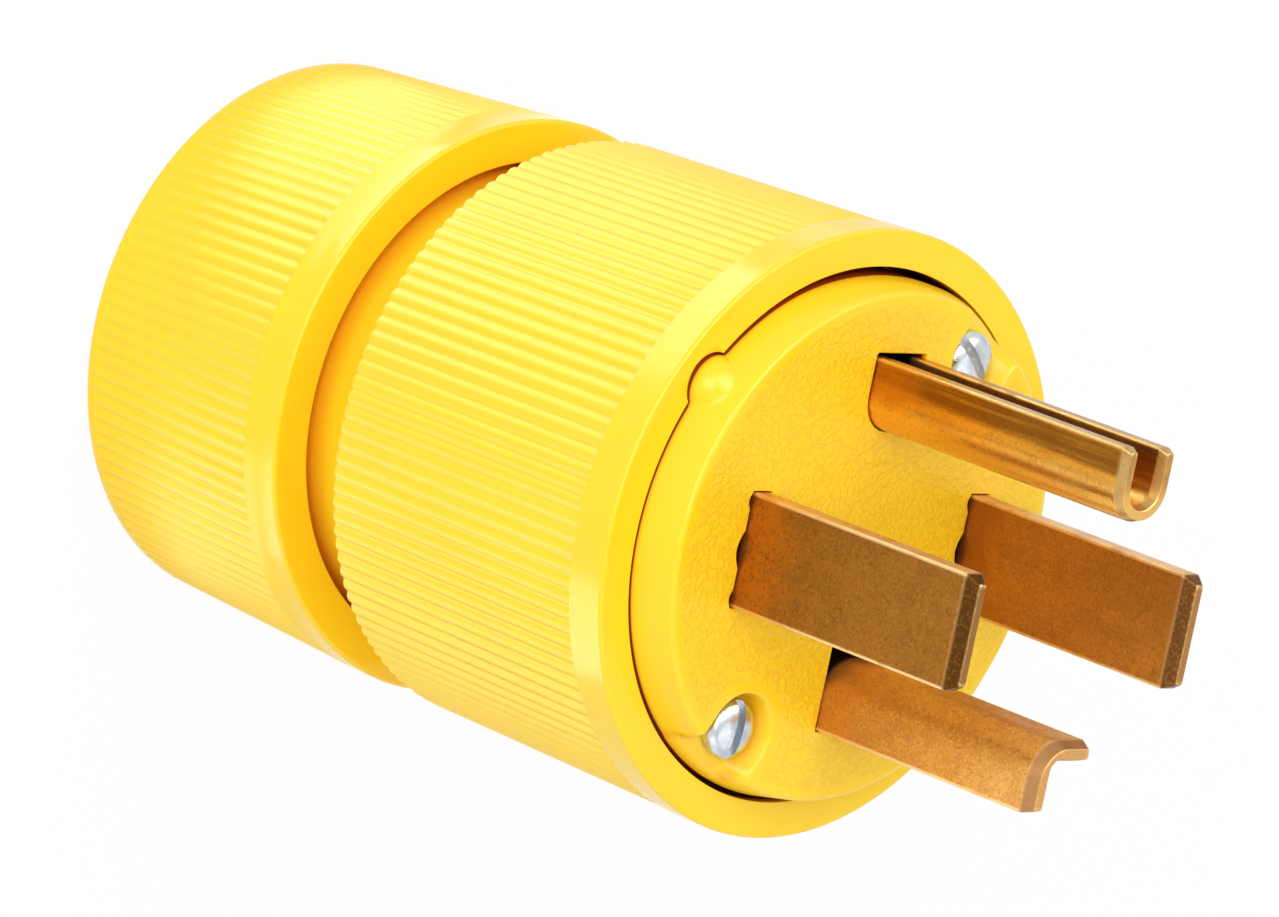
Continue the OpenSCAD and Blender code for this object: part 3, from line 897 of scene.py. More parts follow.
@dataclass(frozen=True)
class BladeCopper(Finish):
    """Drawn copper alloy: lengthwise lines, tarnish clouds, specks, rubbed edges and painted sheen."""

    name: str
    colour: Colour
    dark: Colour
    cloud: Colour
    bright: Colour
    cut: Colour
    gloss: tuple[float, float]
    pitch: float = 0.35
    lines: float = 0.6
    patch: float = 5.0
    rubbed_and_sheened: float = 0.78
    specks: float = 0.45
    metal: float = 0.85
    tones: tuple[Tone, ...] = ()
    drift: float = 0.3
    speck: float = 0.3
    wear_and_sheen_cell: float = 2.5
    grain_cell: float = 0.22
    pale: float = 1.5  # brightness of the pale specks against the metal
    torn: float = 0.5  # share of the bare metal that the specks take away
    depth: float = 0.004

    def look(self, graph: Graph, effects: Effects) -> Look:
        """Lay out the surface.

        Args:
            graph: Graph of the material.
            effects: Shared node groups.

        Returns:
            Sources of the colour, the roughness and the relief.
        """
        place = graph.millimetres()
        drift = graph.noise(place, self.drift, detail=5.0, rough=0.62)
        lines = self.place(graph, effects.lines, Pitch=self.pitch)
        stain = self.place(graph, effects.stain, Cloud=self.patch, Speck=self.speck)
        worn_and_sheened = self.place(graph, effects.worn_and_sheened, Cell=self.wear_and_sheen_cell)
        grain = self.place(graph, effects.grain, Cell=self.grain_cell)
        specks = stain.outputs["Specks"]
        clouded = graph.blend(stain.outputs["Clouds"], self.colour, self.cloud)
        pale = graph.times(graph.ramp(grain.outputs["Height"], low=0.5, high=0.72), self.specks)
        grained = graph.blend(pale, clouded, tuple(self.pale * c for c in self.colour))
        toned = graph.blend(graph.times(lines.outputs["Mask"], self.lines), grained, self.dark)
        for tone in self.tones:
            toned = tone.over(graph, place, drift, toned)
        specked = graph.blend(graph.times(specks, self.specks), toned, self.dark)
        # rubbed edges, and painted sheen on narrow sides and inside the channel, take the bright colour
        rubbed_and_sheened = graph.blend(graph.times(worn_and_sheened.outputs["Mask"], self.rubbed_and_sheened), specked, self.bright)
        torn = graph.maths("ADD", graph.times(specks, -self.torn), 1.0)
        marked = graph.blend(graph.times(graph.mark("sheared"), torn), rubbed_and_sheened, self.cut)
        colour = SLOT_SHADE.over(graph, place, drift, marked)
        roughness = graph.between(stain.outputs["Clouds"], self.gloss)
        relief = graph.maths("ADD", lines.outputs["Height"], specks)
        return colour, roughness, relief


@dataclass(frozen=True)
class Plated(Finish):
    """Plated or turned metal with a faint cloudiness."""

    name: str
    colour: Colour
    dull: Colour
    gloss: tuple[float, float]
    patch: float = 1.6
    speck: float = 0.15
    wear_and_sheen_cell: float = 0.4
    bright: float = 1.15
    slot_shade_share: float = 0.95
    painted_slot_shade: float = 0.2
    depth: float = 0.003
    metal: float = 1.0

    def look(self, graph: Graph, effects: Effects) -> Look:
        """Lay out the surface.

        Args:
            graph: Graph of the material.
            effects: Shared node groups.

        Returns:
            Sources of the colour, the roughness and the relief.
        """
        stain = self.place(graph, effects.stain, Cloud=self.patch, Speck=self.speck)
        worn_and_sheened = self.place(graph, effects.worn_and_sheened, Cell=self.wear_and_sheen_cell)
        clouded = graph.blend(stain.outputs["Clouds"], self.colour, self.dull)
        bright = tuple(min(1.0, self.bright * c) for c in self.colour)
        rubbed_and_sheened = graph.blend(worn_and_sheened.outputs["Mask"], clouded, bright)
        # painted shade: the screw slots are coloured dark
        slot = graph.times(graph.mark("sheared"), self.slot_shade_share)
        colour = graph.blend(slot, rubbed_and_sheened, tuple(self.painted_slot_shade * c for c in self.dull))
        roughness = graph.between(stain.outputs["Clouds"], self.gloss)
        return colour, roughness, stain.outputs["Specks"]


@dataclass(frozen=True)
class Ribbing:
    """Half-round ribs around a body, with narrow grooves between them."""

    count: int
    depth: float
    groove: float = 0.12
    per_rib: int = 12

    def ring(self, r: float, z: float, share: float) -> list[Point]:
        """Lay one ring of the body.

        Args:
            r: Radius over the crests.
            z: Height.
            share: Depth of the grooves here, as a share of the full depth.

        Returns:
            Points around the axis.
        """
        points = []
        steps = self.count * self.per_rib
        top = math.hypot(1.0, self.groove) - self.groove
        for i in range(steps):
            swing = math.cos(math.pi * (i % self.per_rib) / self.per_rib)
            crest = (math.hypot(swing, self.groove) - self.groove) / top
            reach = r - share * self.depth * (1 - crest)
            a = 2 * math.pi * i / steps
            points.append((reach * math.cos(a), reach * math.sin(a), z))
        return points

    def shell(self, section: Sequence[Flat], share: Callable[[float, float], float],
              crevice: Callable[[float, float], float]) -> Shell:
        """Sweep a closed section around the axis.

        Args:
            section: Radius and height of each point, up the outside.
            share: Depth of the grooves at a radius and height, as a share of the full depth.
            crevice: How deep in the painted shade of the gaps a radius and height lie.

        Returns:
            The closed shell.
        """
        shell = Shell()
        loops = []
        for r, z in section:
            ribbed = share(r, z)
            loops.append(shell.ring(self.ring(r, z, ribbed), ribbed=ribbed, crevice=crevice(r, z)))
        for low, high in zip(loops, loops[1:] + loops[:1]):
            shell.bridge(low, high)
        return shell


class Assembly:
    """Base of the sub-assemblies: puts a finished piece on the frame."""

    @staticmethod
    def dress(piece: bpy.types.Object, node: str, slot: Slot,
              material: bpy.types.Material) -> bpy.types.Object:
        """Give a piece its material and its place in the frame.

        Args:
            piece: The piece.
            node: CAD node that it stands for.
            slot: Material slot of the record.
            material: Its material.

        Returns:
            The piece.
        """
        piece.data.materials.clear()
        piece.data.materials.append(material)
        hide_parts(node)
        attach(piece, "root")
        LOG.info("%s stands for %s: %d faces", piece.name, node, len(piece.data.polygons))
        return piece


def drafted(r: float, z: float, slope: float, heights: Sequence[float]) -> list[Corner]:
    """Lay points up a drafted wall.

    Args:
        r: Radius at height z.
        z: Height where the radius is known.
        slope: Growth of the radius with height.
        heights: Heights of the points.

    Returns:
        The points as plain corners.
    """
    return [Corner(r + slope * (h - z), h) for h in heights]


@dataclass(frozen=True)
class Band:
    """Smooth front band of a ribbed body, with the step at which the ribs run out."""

    length: float
    slope: float
    edge: float
    step: float = 0.08
    step_round: float = 0.05
    step_land: float = 0.12
    edge_land: float = 0.06
    fade: tuple[float, ...] = (0.45, 0.36, 0.26, 0.16, 0.08, 0.03)

    def corners(self, crest_r: float, front_r: float, front: float) -> list[Corner]:
        """Draw the band, from the ends of the ribs to the front face.

        Args:
            crest_r: Radius over the crests at the band's foot.
            front_r: Radius of the band at the front.
            front: Height of the front.

        Returns:
            Corners up the outside and onto the front face.
        """
        foot = front - self.length
        return [
            *drafted(crest_r, foot, self.slope, [foot - f for f in self.fade]),
            Corner(crest_r, foot),
            Corner(crest_r + self.step, foot, self.step_round),
            *drafted(front_r, front, self.slope, (foot + self.step_land, front - self.edge - self.edge_land)),
            Corner(front_r, front, self.edge),
            Corner(front_r - self.edge - self.edge_land, front),
        ]

    def grooves(self, front: float, z: float) -> float:
        """Give the share of the ribs' depth at a height below the front."""
        return eased(front - self.length - z, 0.0, self.fade[0])


@dataclass(frozen=True)
class Housing(Assembly):
    """Ribbed sleeve with its smooth front band, the bore for the blade face, and the neck."""

    ribs: Ribbing = Ribbing(120, 0.25, per_rib=10)
    band: Band = Band(3.8, math.tan(math.radians(1.2)), 0.3)
    crest_r: float = 25.9
    rear_r: float = 25.284
    rear_round: float = 0.5
    rib_zone: float = 0.6  # how far inside the rear radius a wall still carries ribs
    line_inset: float = 1.0  # fine line around the front face
    line_depth: float = 0.018
    line_land: float = 0.05
    bore_r: float = 22.9
    bore_land: float = 0.14
    bore_round: float = 0.08
    bore_rows: Flat = (0.15, 1.4)  # depths of the rows between which the painted shade deepens
    # painted shade on the bore's wall: full deeper down, a share of it near the front
    bore_rim: float = 1.0
    bore_shade: float = 0.3
    cavity_r: float = 21.884
    neck_r: float = 20.5
    neck_wall: float = 3.0
    neck_end: float = 16.2
    neck_round: float = 0.4
    touch: float = 0.02  # points this near the bore lie on its wall
    neck_shade: float = 0.5  # painted warm shade at the foot of the open neck
    neck_shade_end: float = 27.6
    neck_shade_low: float = 0.6
    neck_shade_below: float = 2.4
    neck_shade_step: float = 0.5
    neck_shade_rows: int = 14
    neck_shade_play: float = 0.1
    column_r: float = 3.8
    column_sink: float = 1.0
    column_steps: int = 48
    insert_r: float = 2.65
    insert_len: float = 8.0
    hole_play: float = 0.35
    hole_run: float = 2.0
    notch_r: float = 2.75
    notch_lip: float = 0.06
    notch_run: float = 1.0
    notch_steps: int = 64
    crease: float = 50.0

    def section(self) -> list[Flat]:
        """Draw the section of the housing, up its outside and down its inside.

        Returns:
            Radius and height of each point.
        """
        front = LEVELS.front
        band_r = self.crest_r + self.band.step + self.band.slope * self.band.length
        line_r = band_r - self.band.edge - self.line_inset
        half = 2 * self.line_depth
        neck_in, neck_shade_z = self.neck_r - self.neck_wall, LEVELS.cap - self.neck_shade_below
        corners = [
            Corner(self.rear_r, LEVELS.sleeve, self.rear_round),
            *self.band.corners(self.crest_r, band_r, front),
            Corner(line_r + half + self.line_land, front),
            Corner(line_r + half, front),
            Corner(line_r, front - self.line_depth),
            Corner(line_r - half, front),
            Corner(line_r - half - self.line_land, front),
            Corner(self.bore_r + self.bore_land, front),
            Corner(self.bore_r, front, self.bore_round),
            *(Corner(self.bore_r, front - depth) for depth in self.bore_rows),
            Corner(self.bore_r, LEVELS.seat),
            Corner(self.cavity_r, LEVELS.seat),
            Corner(self.cavity_r, LEVELS.floor),
            Corner(neck_in, LEVELS.floor),
            Corner(neck_in, self.neck_end),
            Corner(self.neck_r, self.neck_end, self.neck_round),
            *(Corner(self.neck_r, neck_shade_z + self.neck_shade_step * k) for k in range(self.neck_shade_rows)),
            Corner(self.neck_r, LEVELS.sleeve, self.neck_round),
        ]
        return rounded(corners)

    def grooves(self, r: float, z: float) -> float:
        """Give the share of the ribs' depth at a radius and height."""
        return self.band.grooves(LEVELS.front, z) if r > self.rear_r - self.rib_zone else 0.0

    def shaded_gaps(self, r: float, z: float) -> float:
        """Tell how deep in the painted shade of the gaps a radius and height lie.

        Args:
            r: Radius.
            z: Height.

        Returns:
            One around the blade face, half at the foot of the open neck, zero outside.
        """
        if abs(r - self.bore_r) < self.touch:
            return 1.0 if z < LEVELS.front - self.bore_rim else self.bore_shade
        if r > self.neck_r + self.neck_shade_play:
            return 0.0
        return self.neck_shade * spread(self.neck_shade_end - z, 0.0, self.neck_shade_end - LEVELS.cap + self.neck_shade_low)

    def column(self) -> Shell:
        """Build one column that takes a threaded insert.

        Returns:
            The column, on the axis.
        """
        shell = Shell()
        bottom, top, step = LEVELS.floor - self.column_sink, LEVELS.plate, LEVELS.plate - self.insert_len
        hole, end = LEVELS.screw_r + self.hole_play, LEVELS.screw_end - self.hole_run
        shell.lathe([
            (0, bottom), (self.column_r, bottom), (self.column_r, top), (self.insert_r, top),
            (self.insert_r, step), (hole, step), (hole, end), (0, end),
        ], self.column_steps)
        return shell

    def build(self, material: bpy.types.Material) -> bpy.types.Object:
        """Build and dress the housing.

        Args:
            material: Material of the body.

        Returns:
            The piece.
        """
        shell = self.ribs.shell(self.section(), self.grooves, self.shaded_gaps)
        for i in (0, 1):
            x, y = LEVELS.screw(i)
            shell.add(self.column(), Matrix.Translation((x, y, 0)))
        piece = shell.make("sleeve_and_neck", self.crease)
        tool = Shell()
        x, y = LEVELS.nub()
        low, high = LEVELS.seat + self.notch_run, LEVELS.front + self.notch_run
        wide, lip = self.notch_r + self.notch_lip, LEVELS.front - self.notch_lip
        # the notch's walls take full painted shade
        tool.lathe([
            (0, low), (self.notch_r, low), (self.notch_r, lip), (wide, LEVELS.front), (wide, high), (0, high),
        ], self.notch_steps, crevice=1.0)
        cutter = tool.make("notch")
        cutter.location = (x * MM, y * MM, 0)
        cut(piece, cutter, self.crease)
        return self.dress(piece, "front_housing", Slot.BODY, material)


@dataclass(frozen=True)
class RearCap(Assembly):
    """Ribbed screw-down cap with a smooth front band and the cord hole."""

    ribs: Ribbing = Ribbing(116, 0.26)
    band: Band = Band(4.0, math.tan(math.radians(3.0)), 0.35)
    r: float = 25.2
    rib_zone: float = 1.0  # how far outside the mouth a wall carries ribs
    heel: float = 0.9  # height at which the ribs begin
    heel_fade: float = 1.2
    heel_steps: int = 8
    mouth_r: float = 21.5
    mouth_depth: float = 3.0
    mouth_land: float = 0.21
    mouth_round: float = 0.15
    mouth_row: float = 0.3
    bore_r: float = 20.8
    cone_r: float = 15.6
    floor: float = 4.0
    floor_round: float = 0.2
    cord_r: float = 13.5
    cord_round: float = 0.5
    mouth_shade: float = 0.25  # painted shade on the wall that faces the neck
    gap_inset: float = 1.0
    gap_below: float = 0.2
    touch: float = 0.01
    crease: float = 50.0

    def section(self) -> list[Flat]:
        """Draw the section of the cap, up its outside and down its inside.

        Returns:
            Radius and height of each point.
        """
        top, slope = LEVELS.cap, self.band.slope
        band_z, mouth_z = top - self.band.length, top - self.mouth_depth
        crest_r, back_r = self.r - slope * self.band.length, self.r - slope * top
        heel = [self.heel + self.heel_fade * k / self.heel_steps for k in range(self.heel_steps + 1)]
        corners = [
            Corner(back_r, 0.0, self.band.edge),
            *drafted(crest_r, band_z, slope, heel),
            *self.band.corners(crest_r, self.r, top),
            Corner(self.mouth_r + self.mouth_land, top),
            Corner(self.mouth_r, top, self.mouth_round),
            Corner(self.mouth_r, top - self.mouth_row),
            Corner(self.mouth_r, mouth_z + self.mouth_r - self.bore_r),
            Corner(self.bore_r, mouth_z),
            Corner(self.bore_r, self.floor + self.bore_r - self.cone_r),
            Corner(self.cone_r, self.floor),
            Corner(self.cord_r, self.floor, self.floor_round),
            Corner(self.cord_r, 0.0, self.cord_round),
        ]
        return rounded(corners)

    def grooves(self, r: float, z: float) -> float:
        """Give the share of the ribs' depth at a radius and height.

        Args:
            r: Radius.
            z: Height.

        Returns:
            One along the ribs, fading to zero at the band and at the back edge.
        """
        if r < self.mouth_r + self.rib_zone:
            return 0.0
        return self.band.grooves(LEVELS.cap, z) * eased(z, self.heel, self.heel + self.heel_fade)

    def shaded_gaps(self, r: float, z: float) -> float:
        """Tell how deep in the painted shade of the gaps a radius and height lie."""
        within = self.cone_r + self.gap_inset < r < self.mouth_r + self.touch
        return self.mouth_shade if within and z < LEVELS.cap - self.gap_below else 0.0

    def build(self, material: bpy.types.Material) -> bpy.types.Object:
        """Build and dress the cap.

        Args:
            material: Material of the body.

        Returns:
            The piece.
        """
        shell = self.ribs.shell(self.section(), self.grooves, self.shaded_gaps)
        return self.dress(shell.make("screw_down_cap", self.crease), "rear_cap", Slot.BODY, material)


@dataclass(frozen=True)
class Pocket:
    """One screw pocket of the blade face: a round well that opens out through the rim."""

    angle: float
    soft_way: float  # direction in which the wall is softest, in degrees
    shade: float  # depth of the painted shade low on the wall
    r: float = 3.65
    flare: float = 1.3
    flare_from: float = 1.6
    wall: float = 0.7
    soft_wall: float = 0.6
    soft_end: float = 1.3
    soft_run: Flat = (-0.5, 3.0)
    floor_tint: float = 0.4  # share of the painted shade on the floor
    shade_run: Flat = (0.15, 0.5)
    rise: float = 4.5
    edge: float = 1.25
    edge_width: float = 2.2
    top_round: float = 0.4
    side_round: float = 0.8
    side_run: Flat = (1.2, 0.2)

    def wall_share(self, x: float, y: float) -> float:
        """Tell how far up the pocket's wall a place lies.

        Args:
            x: Place along X.
            y: Place along Y.

        Returns:
            Zero on the floor, one outside the pocket.
        """
        u, v = turn((x, y), -self.angle)
        out = u - LEVELS.screw_pitch
        run = min(self.flare, max(0.0, out - self.flare_from))
        gap = math.hypot(out, v) if out < 0 else abs(v) - self.flare + math.sqrt(self.flare ** 2 - run ** 2)
        facing = math.cos(math.atan2(v, out) - math.radians(self.soft_way - self.angle))
        wide = self.wall + self.soft_wall * max(0.0, facing) ** 2 + self.soft_end * faded(out, *self.soft_run)
        return faded(gap - self.r, -wide, wide)

    def painted_shade(self, share: float) -> float:
        """Tell how deep the painted shade lies on the pocket, deepest low on its wall.

        Args:
            share: How far up the pocket's wall the place lies.

        Returns:
            Depth of the painted shade.
        """
        foot = self.floor_tint + (1 - self.floor_tint) * faded(share, 0.0, self.shade_run[0])
        return self.shade * foot * (1 - faded(share, *self.shade_run))

    def lowered(self, x: float, y: float, z: float, edge_r: float) -> tuple[float, float]:
        """Sink a point of the face into the pocket.

        Args:
            x: Place along X.
            y: Place along Y.
            z: Height of the face without the pocket.
            edge_r: Radius of the face's wall at the pocket's outer edge.

        Returns:
            The height with the pocket, and how far up the pocket's wall the place lies.
        """
        share, r = self.wall_share(x, y), math.hypot(x, y)
        reach = min(1.0, max(0.0, 1 + (r - edge_r) / self.edge_width))
        level = LEVELS.pocket - self.edge * reach ** 3 + self.rise * share
        soft = self.top_round + self.side_round * faded(r, *(edge_r - run for run in self.side_run))
        near = max(0.0, 1 - abs(level - z) / soft)
        return min(level, z) - near * near * soft / 4, share


@dataclass(frozen=True)
class BladeFace(Assembly):
    """Raised round face with its blade slots, screw pockets and locating nub."""

    face_r: float = 22.42
    rim_r: float = 21.75
    rim_round: float = 0.5
    rim_steps: int = 6
    wall_steps: int = 14
    # Rows at the foot of the wall: height over the front, depth of the painted shade in the gap.
    foot_rows: tuple[Flat, ...] = ((0.3, 0.1), (0.1, 0.3), (-0.1, 1.0), (-1.0, 1.0))
    pockets: tuple[Pocket, ...] = (
        Pocket(LEVELS.screw_angle, -30.0, 0.1), Pocket(LEVELS.screw_angle + 180, -20.0, 0.4))
    pocket_half: float = 18.0
    pocket_step: float = 0.3
    coarse_step: float = 1.5
    step_gap: float = 0.5
    middle_r: float = 17.3
    middle_dip: float = 2.9
    dip_half: float = 17.0  # half width of the dip beside a pocket, in degrees
    top_steps: int = 44
    nub_half: float = 11.0
    nub_step: float = 0.2
    nub_sweep: float = 0.3  # half width that the nub can reach, in radians
    nub_r: float = 2.3
    nub_low: float = -0.3
    nub_rise: float = 2.5
    nub_power: float = 0.65
    nub_fillet: float = 0.7
    slot_round: float = 0.12
    slot_round_steps: int = 4
    # depth below the top from which the slot walls take full painted shade
    painted_slot_shade: float = 0.7
    hole_r: float = 2.1
    hole_play: Flat = (1.0, 0.5)
    hole_steps: int = 48
    hot_half: Flat = (1.12, 4.95)
    hot_land: float = 0.1
    hot_bulge: float = 0.55
    hot_x: float = 13.2
    hot_y: float = -0.2
    grip_at: float = 2.5
    grip_half: float = 0.9
    angle_slot: tuple[Corner, ...] = (
        Corner(-1.0, -15.7, 0.2), Corner(1.5, -15.7, 0.2), Corner(1.5, -11.4, 0.2),
        Corner(5.3, -11.4, 0.2), Corner(5.3, -8.3, 0.2), Corner(-1.0, -8.3, 0.2))
    channel_slot: tuple[Corner, ...] = (
        Corner(-3.0, 9.9, 2.99), Corner(3.0, 9.9, 2.99), Corner(3.0, 16.55, 0.25), Corner(-3.0, 16.55, 0.25))
    slot_steps: tuple[int, int] = (4, 14)  # along the rounds of the angle and the channel slot
    crease: float = 70.0
    # Swellings of the foot: middle and half width in degrees, height.
    seats: tuple[Point, ...] = ((180.0, 90.0, 0.28), (92.0, 34.0, -0.24), (57.0, 20.0, 0.36))

    def bearings(self) -> list[float]:
        """List the directions of the surface's columns, which stand closer at the pockets and the nub.

        Returns:
            Angles about the axis in degrees, anticlockwise.
        """
        fine = [(pocket.angle, self.pocket_half, self.pocket_step) for pocket in self.pockets]
        fine.append((LEVELS.nub_angle, self.nub_half, self.nub_step))
        angles = []
        for middle, half, step in fine:
            count = round(half / step)
            angles += [middle + half * k / count for k in range(-count, count + 1)]
        for angle in (self.coarse_step * k for k in range(round(360 / self.coarse_step))):
            if all(apart(angle, middle) > half + self.step_gap for middle, half, _ in fine):
                angles.append(angle)
        return sorted(angles)

    def inner_r(self, angle: float) -> float:
        """Give the radius of the flat middle of the top, which draws in beside the pockets.

        Args:
            angle: Direction about the axis, in degrees.

        Returns:
            The radius.
        """
        r = self.middle_r
        for pocket in self.pockets:
            away = apart(angle, pocket.angle) / self.dip_half
            r -= self.middle_dip * math.cos(math.pi / 2 * away) if away < 1 else 0.0
        return r

    def slots(self) -> list[list[Flat]]:
        """Draw the four blade slots.

        Returns:
            Closed anticlockwise outlines.
        """
        tight, half = self.hot_half
        near, far, end = self.grip_at - self.grip_half, self.grip_at + self.grip_half, half - self.hot_land
        right = [(tight, -half), *bulge((tight, -end), (tight, -far), self.hot_bulge / 2),
                 *bulge((tight, -near), (tight, near), self.hot_bulge),
                 *bulge((tight, far), (tight, end), self.hot_bulge / 2), (tight, half)]
        shape = right + [(-x, -y) for x, y in right]
        outlines = []
        for side in (1, -1):
            outlines.append([(x + side * self.hot_x, y + self.hot_y) for x, y in shape])
        for corners, steps in zip((self.angle_slot, self.channel_slot), self.slot_steps):
            outlines.append(rounded(corners, steps))
        return outlines

    def wall_r(self, angle: float, z: float) -> float:
        """Give the radius of the face's drafted wall, which sits a little unevenly in its bore.

        Args:
            angle: Direction about the axis, in degrees.
            z: Height.

        Returns:
            Radius of the wall there.
        """
        low, high = LEVELS.front, LEVELS.face - self.rim_round
        share = spread(high - z, 0.0, high - low)
        foot_r = self.face_r
        for middle, half, swell in self.seats:
            away = apart(angle, middle) / half
            foot_r += swell * math.cos(math.pi / 2 * away) ** 2 if away < 1 else 0.0
        return self.rim_r + share * (foot_r - self.rim_r)

    def swollen(self, angle: float, z: float) -> float:
        """Swell the wall around the locating nub.

        Args:
            angle: Direction about the axis, in degrees.
            z: Height.

        Returns:
            Radius of the wall with the nub blended into it.
        """
        r = self.wall_r(angle, z)
        away = math.radians((angle - LEVELS.nub_angle + 180) % 360 - 180)
        if abs(away) > self.nub_sweep:
            return r
        rise = max(0.0, z - LEVELS.front - self.nub_low) / self.nub_rise
        reach = math.hypot(LEVELS.nub_pitch * math.sin(away) / self.nub_r, rise)
        height = (1 - reach * reach) ** self.nub_power if reach < 1 else 2 - 2 * reach
        bump = r + (LEVELS.nub_pitch + self.nub_r - r) * height
        near = max(0.0, 1 - abs(bump - r) / self.nub_fillet)
        return max(bump, r) + near * near * self.nub_fillet / 4

    def column(self, angle: float) -> list[tuple[Point, float]]:
        """Draw the surface in one direction, from the flat middle over the rim and down the wall.

        Args:
            angle: Direction about the axis, in degrees.

        Returns:
            Points and how deep in the painted shade of the gaps each of them lies.
        """
        straight, low = LEVELS.face - self.rim_round, LEVELS.front + self.foot_rows[0][0]
        start, stop = self.inner_r(angle), self.swollen(angle, LEVELS.face) - self.rim_round
        spots = [(start + (stop - start) * k / self.top_steps, LEVELS.face, 0.0)
                 for k in range(self.top_steps)]
        for k in range(self.rim_steps + 1):
            a = math.radians(90 - 90 * k / self.rim_steps)
            z = straight + self.rim_round * math.sin(a)
            spots.append((self.swollen(angle, z) + self.rim_round * (math.cos(a) - 1), z, 0.0))
        wall = [(straight + (low - straight) * k / self.wall_steps, 0.0) for k in range(1, self.wall_steps)]
        wall += [(LEVELS.front + rise, depth) for rise, depth in self.foot_rows]
        wall.append((LEVELS.seat, 1.0))
        spots += [(self.swollen(angle, z), z, depth) for z, depth in wall]
        column = []
        for r, z, depth in spots:
            x, y = turn((r, 0.0), angle)
            for pocket in self.pockets:
                if apart(angle, pocket.angle) < self.pocket_half:
                    z, share = pocket.lowered(x, y, z, self.wall_r(angle, LEVELS.pocket - pocket.edge))
                    depth = max(depth, pocket.painted_shade(share))
            column.append(((x, y, z), depth))
        return column

    def slot_walls(self, shell: Shell) -> tuple[list[Loop], list[Loop]]:
        """Build the walls of the blade slots with their rounded edges.

        Args:
            shell: Shell to build in.

        Returns:
            Loops in the top and loops in the bottom.
        """
        tops, bottoms = [], []
        for outline in self.slots():
            # painted shade: the slot walls are dark from a little below the top down
            last = shell.flat(outline, LEVELS.seat, crevice=1.0)
            bottoms.append(last)
            deep = shell.flat(outline, LEVELS.face - self.painted_slot_shade, crevice=1.0)
            shell.bridge(deep, last)
            last = deep
            for k in range(self.slot_round_steps + 1):
                a = math.radians(90 * k / self.slot_round_steps)
                z = LEVELS.face - self.slot_round * (1 - math.sin(a))
                loop = shell.flat(grown(outline, self.slot_round * (1 - math.cos(a))), z)
                shell.bridge(loop, last)
                last = loop
            tops.append(last)
        return tops, bottoms

    def build(self, material: bpy.types.Material) -> bpy.types.Object:
        """Build and dress the face.

        Args:
            material: Its material.

        Returns:
            The piece.
        """
        shell, drills = Shell(), Shell()
        tops, bottoms = self.slot_walls(shell)
        columns = [self.column(angle) for angle in self.bearings()]
        rows = []
        for row in zip(*columns):
            rows.append(shell.ring([point for point, _ in row], crevice=[depth for _, depth in row]))
        for high, low in zip(rows, rows[1:]):
            shell.bridge(low, high)
        shell.fill(rows[0], tops, True)
        shell.fill(rows[-1], bottoms, False)
        for i in range(len(self.pockets)):
            drill = Shell()
            low, high = LEVELS.seat - self.hole_play[0], LEVELS.pocket + self.hole_play[1]
            drill.lathe([(0, low), (self.hole_r, low), (self.hole_r, high), (0, high)], self.hole_steps)
            drills.add(drill, Matrix.Translation((*LEVELS.screw(i), 0.0)))
        piece = shell.make("blade_plate", self.crease)
        cut(piece, drills.make("drills"), self.crease)
        evened(piece)
        return self.dress(piece, "blade_face", Slot.FACE, material)


class BladeShape(Enum):
    """Sections of the blades."""

    FLAT = "flat"
    ANGLE = "angle"
    CHANNEL = "channel"


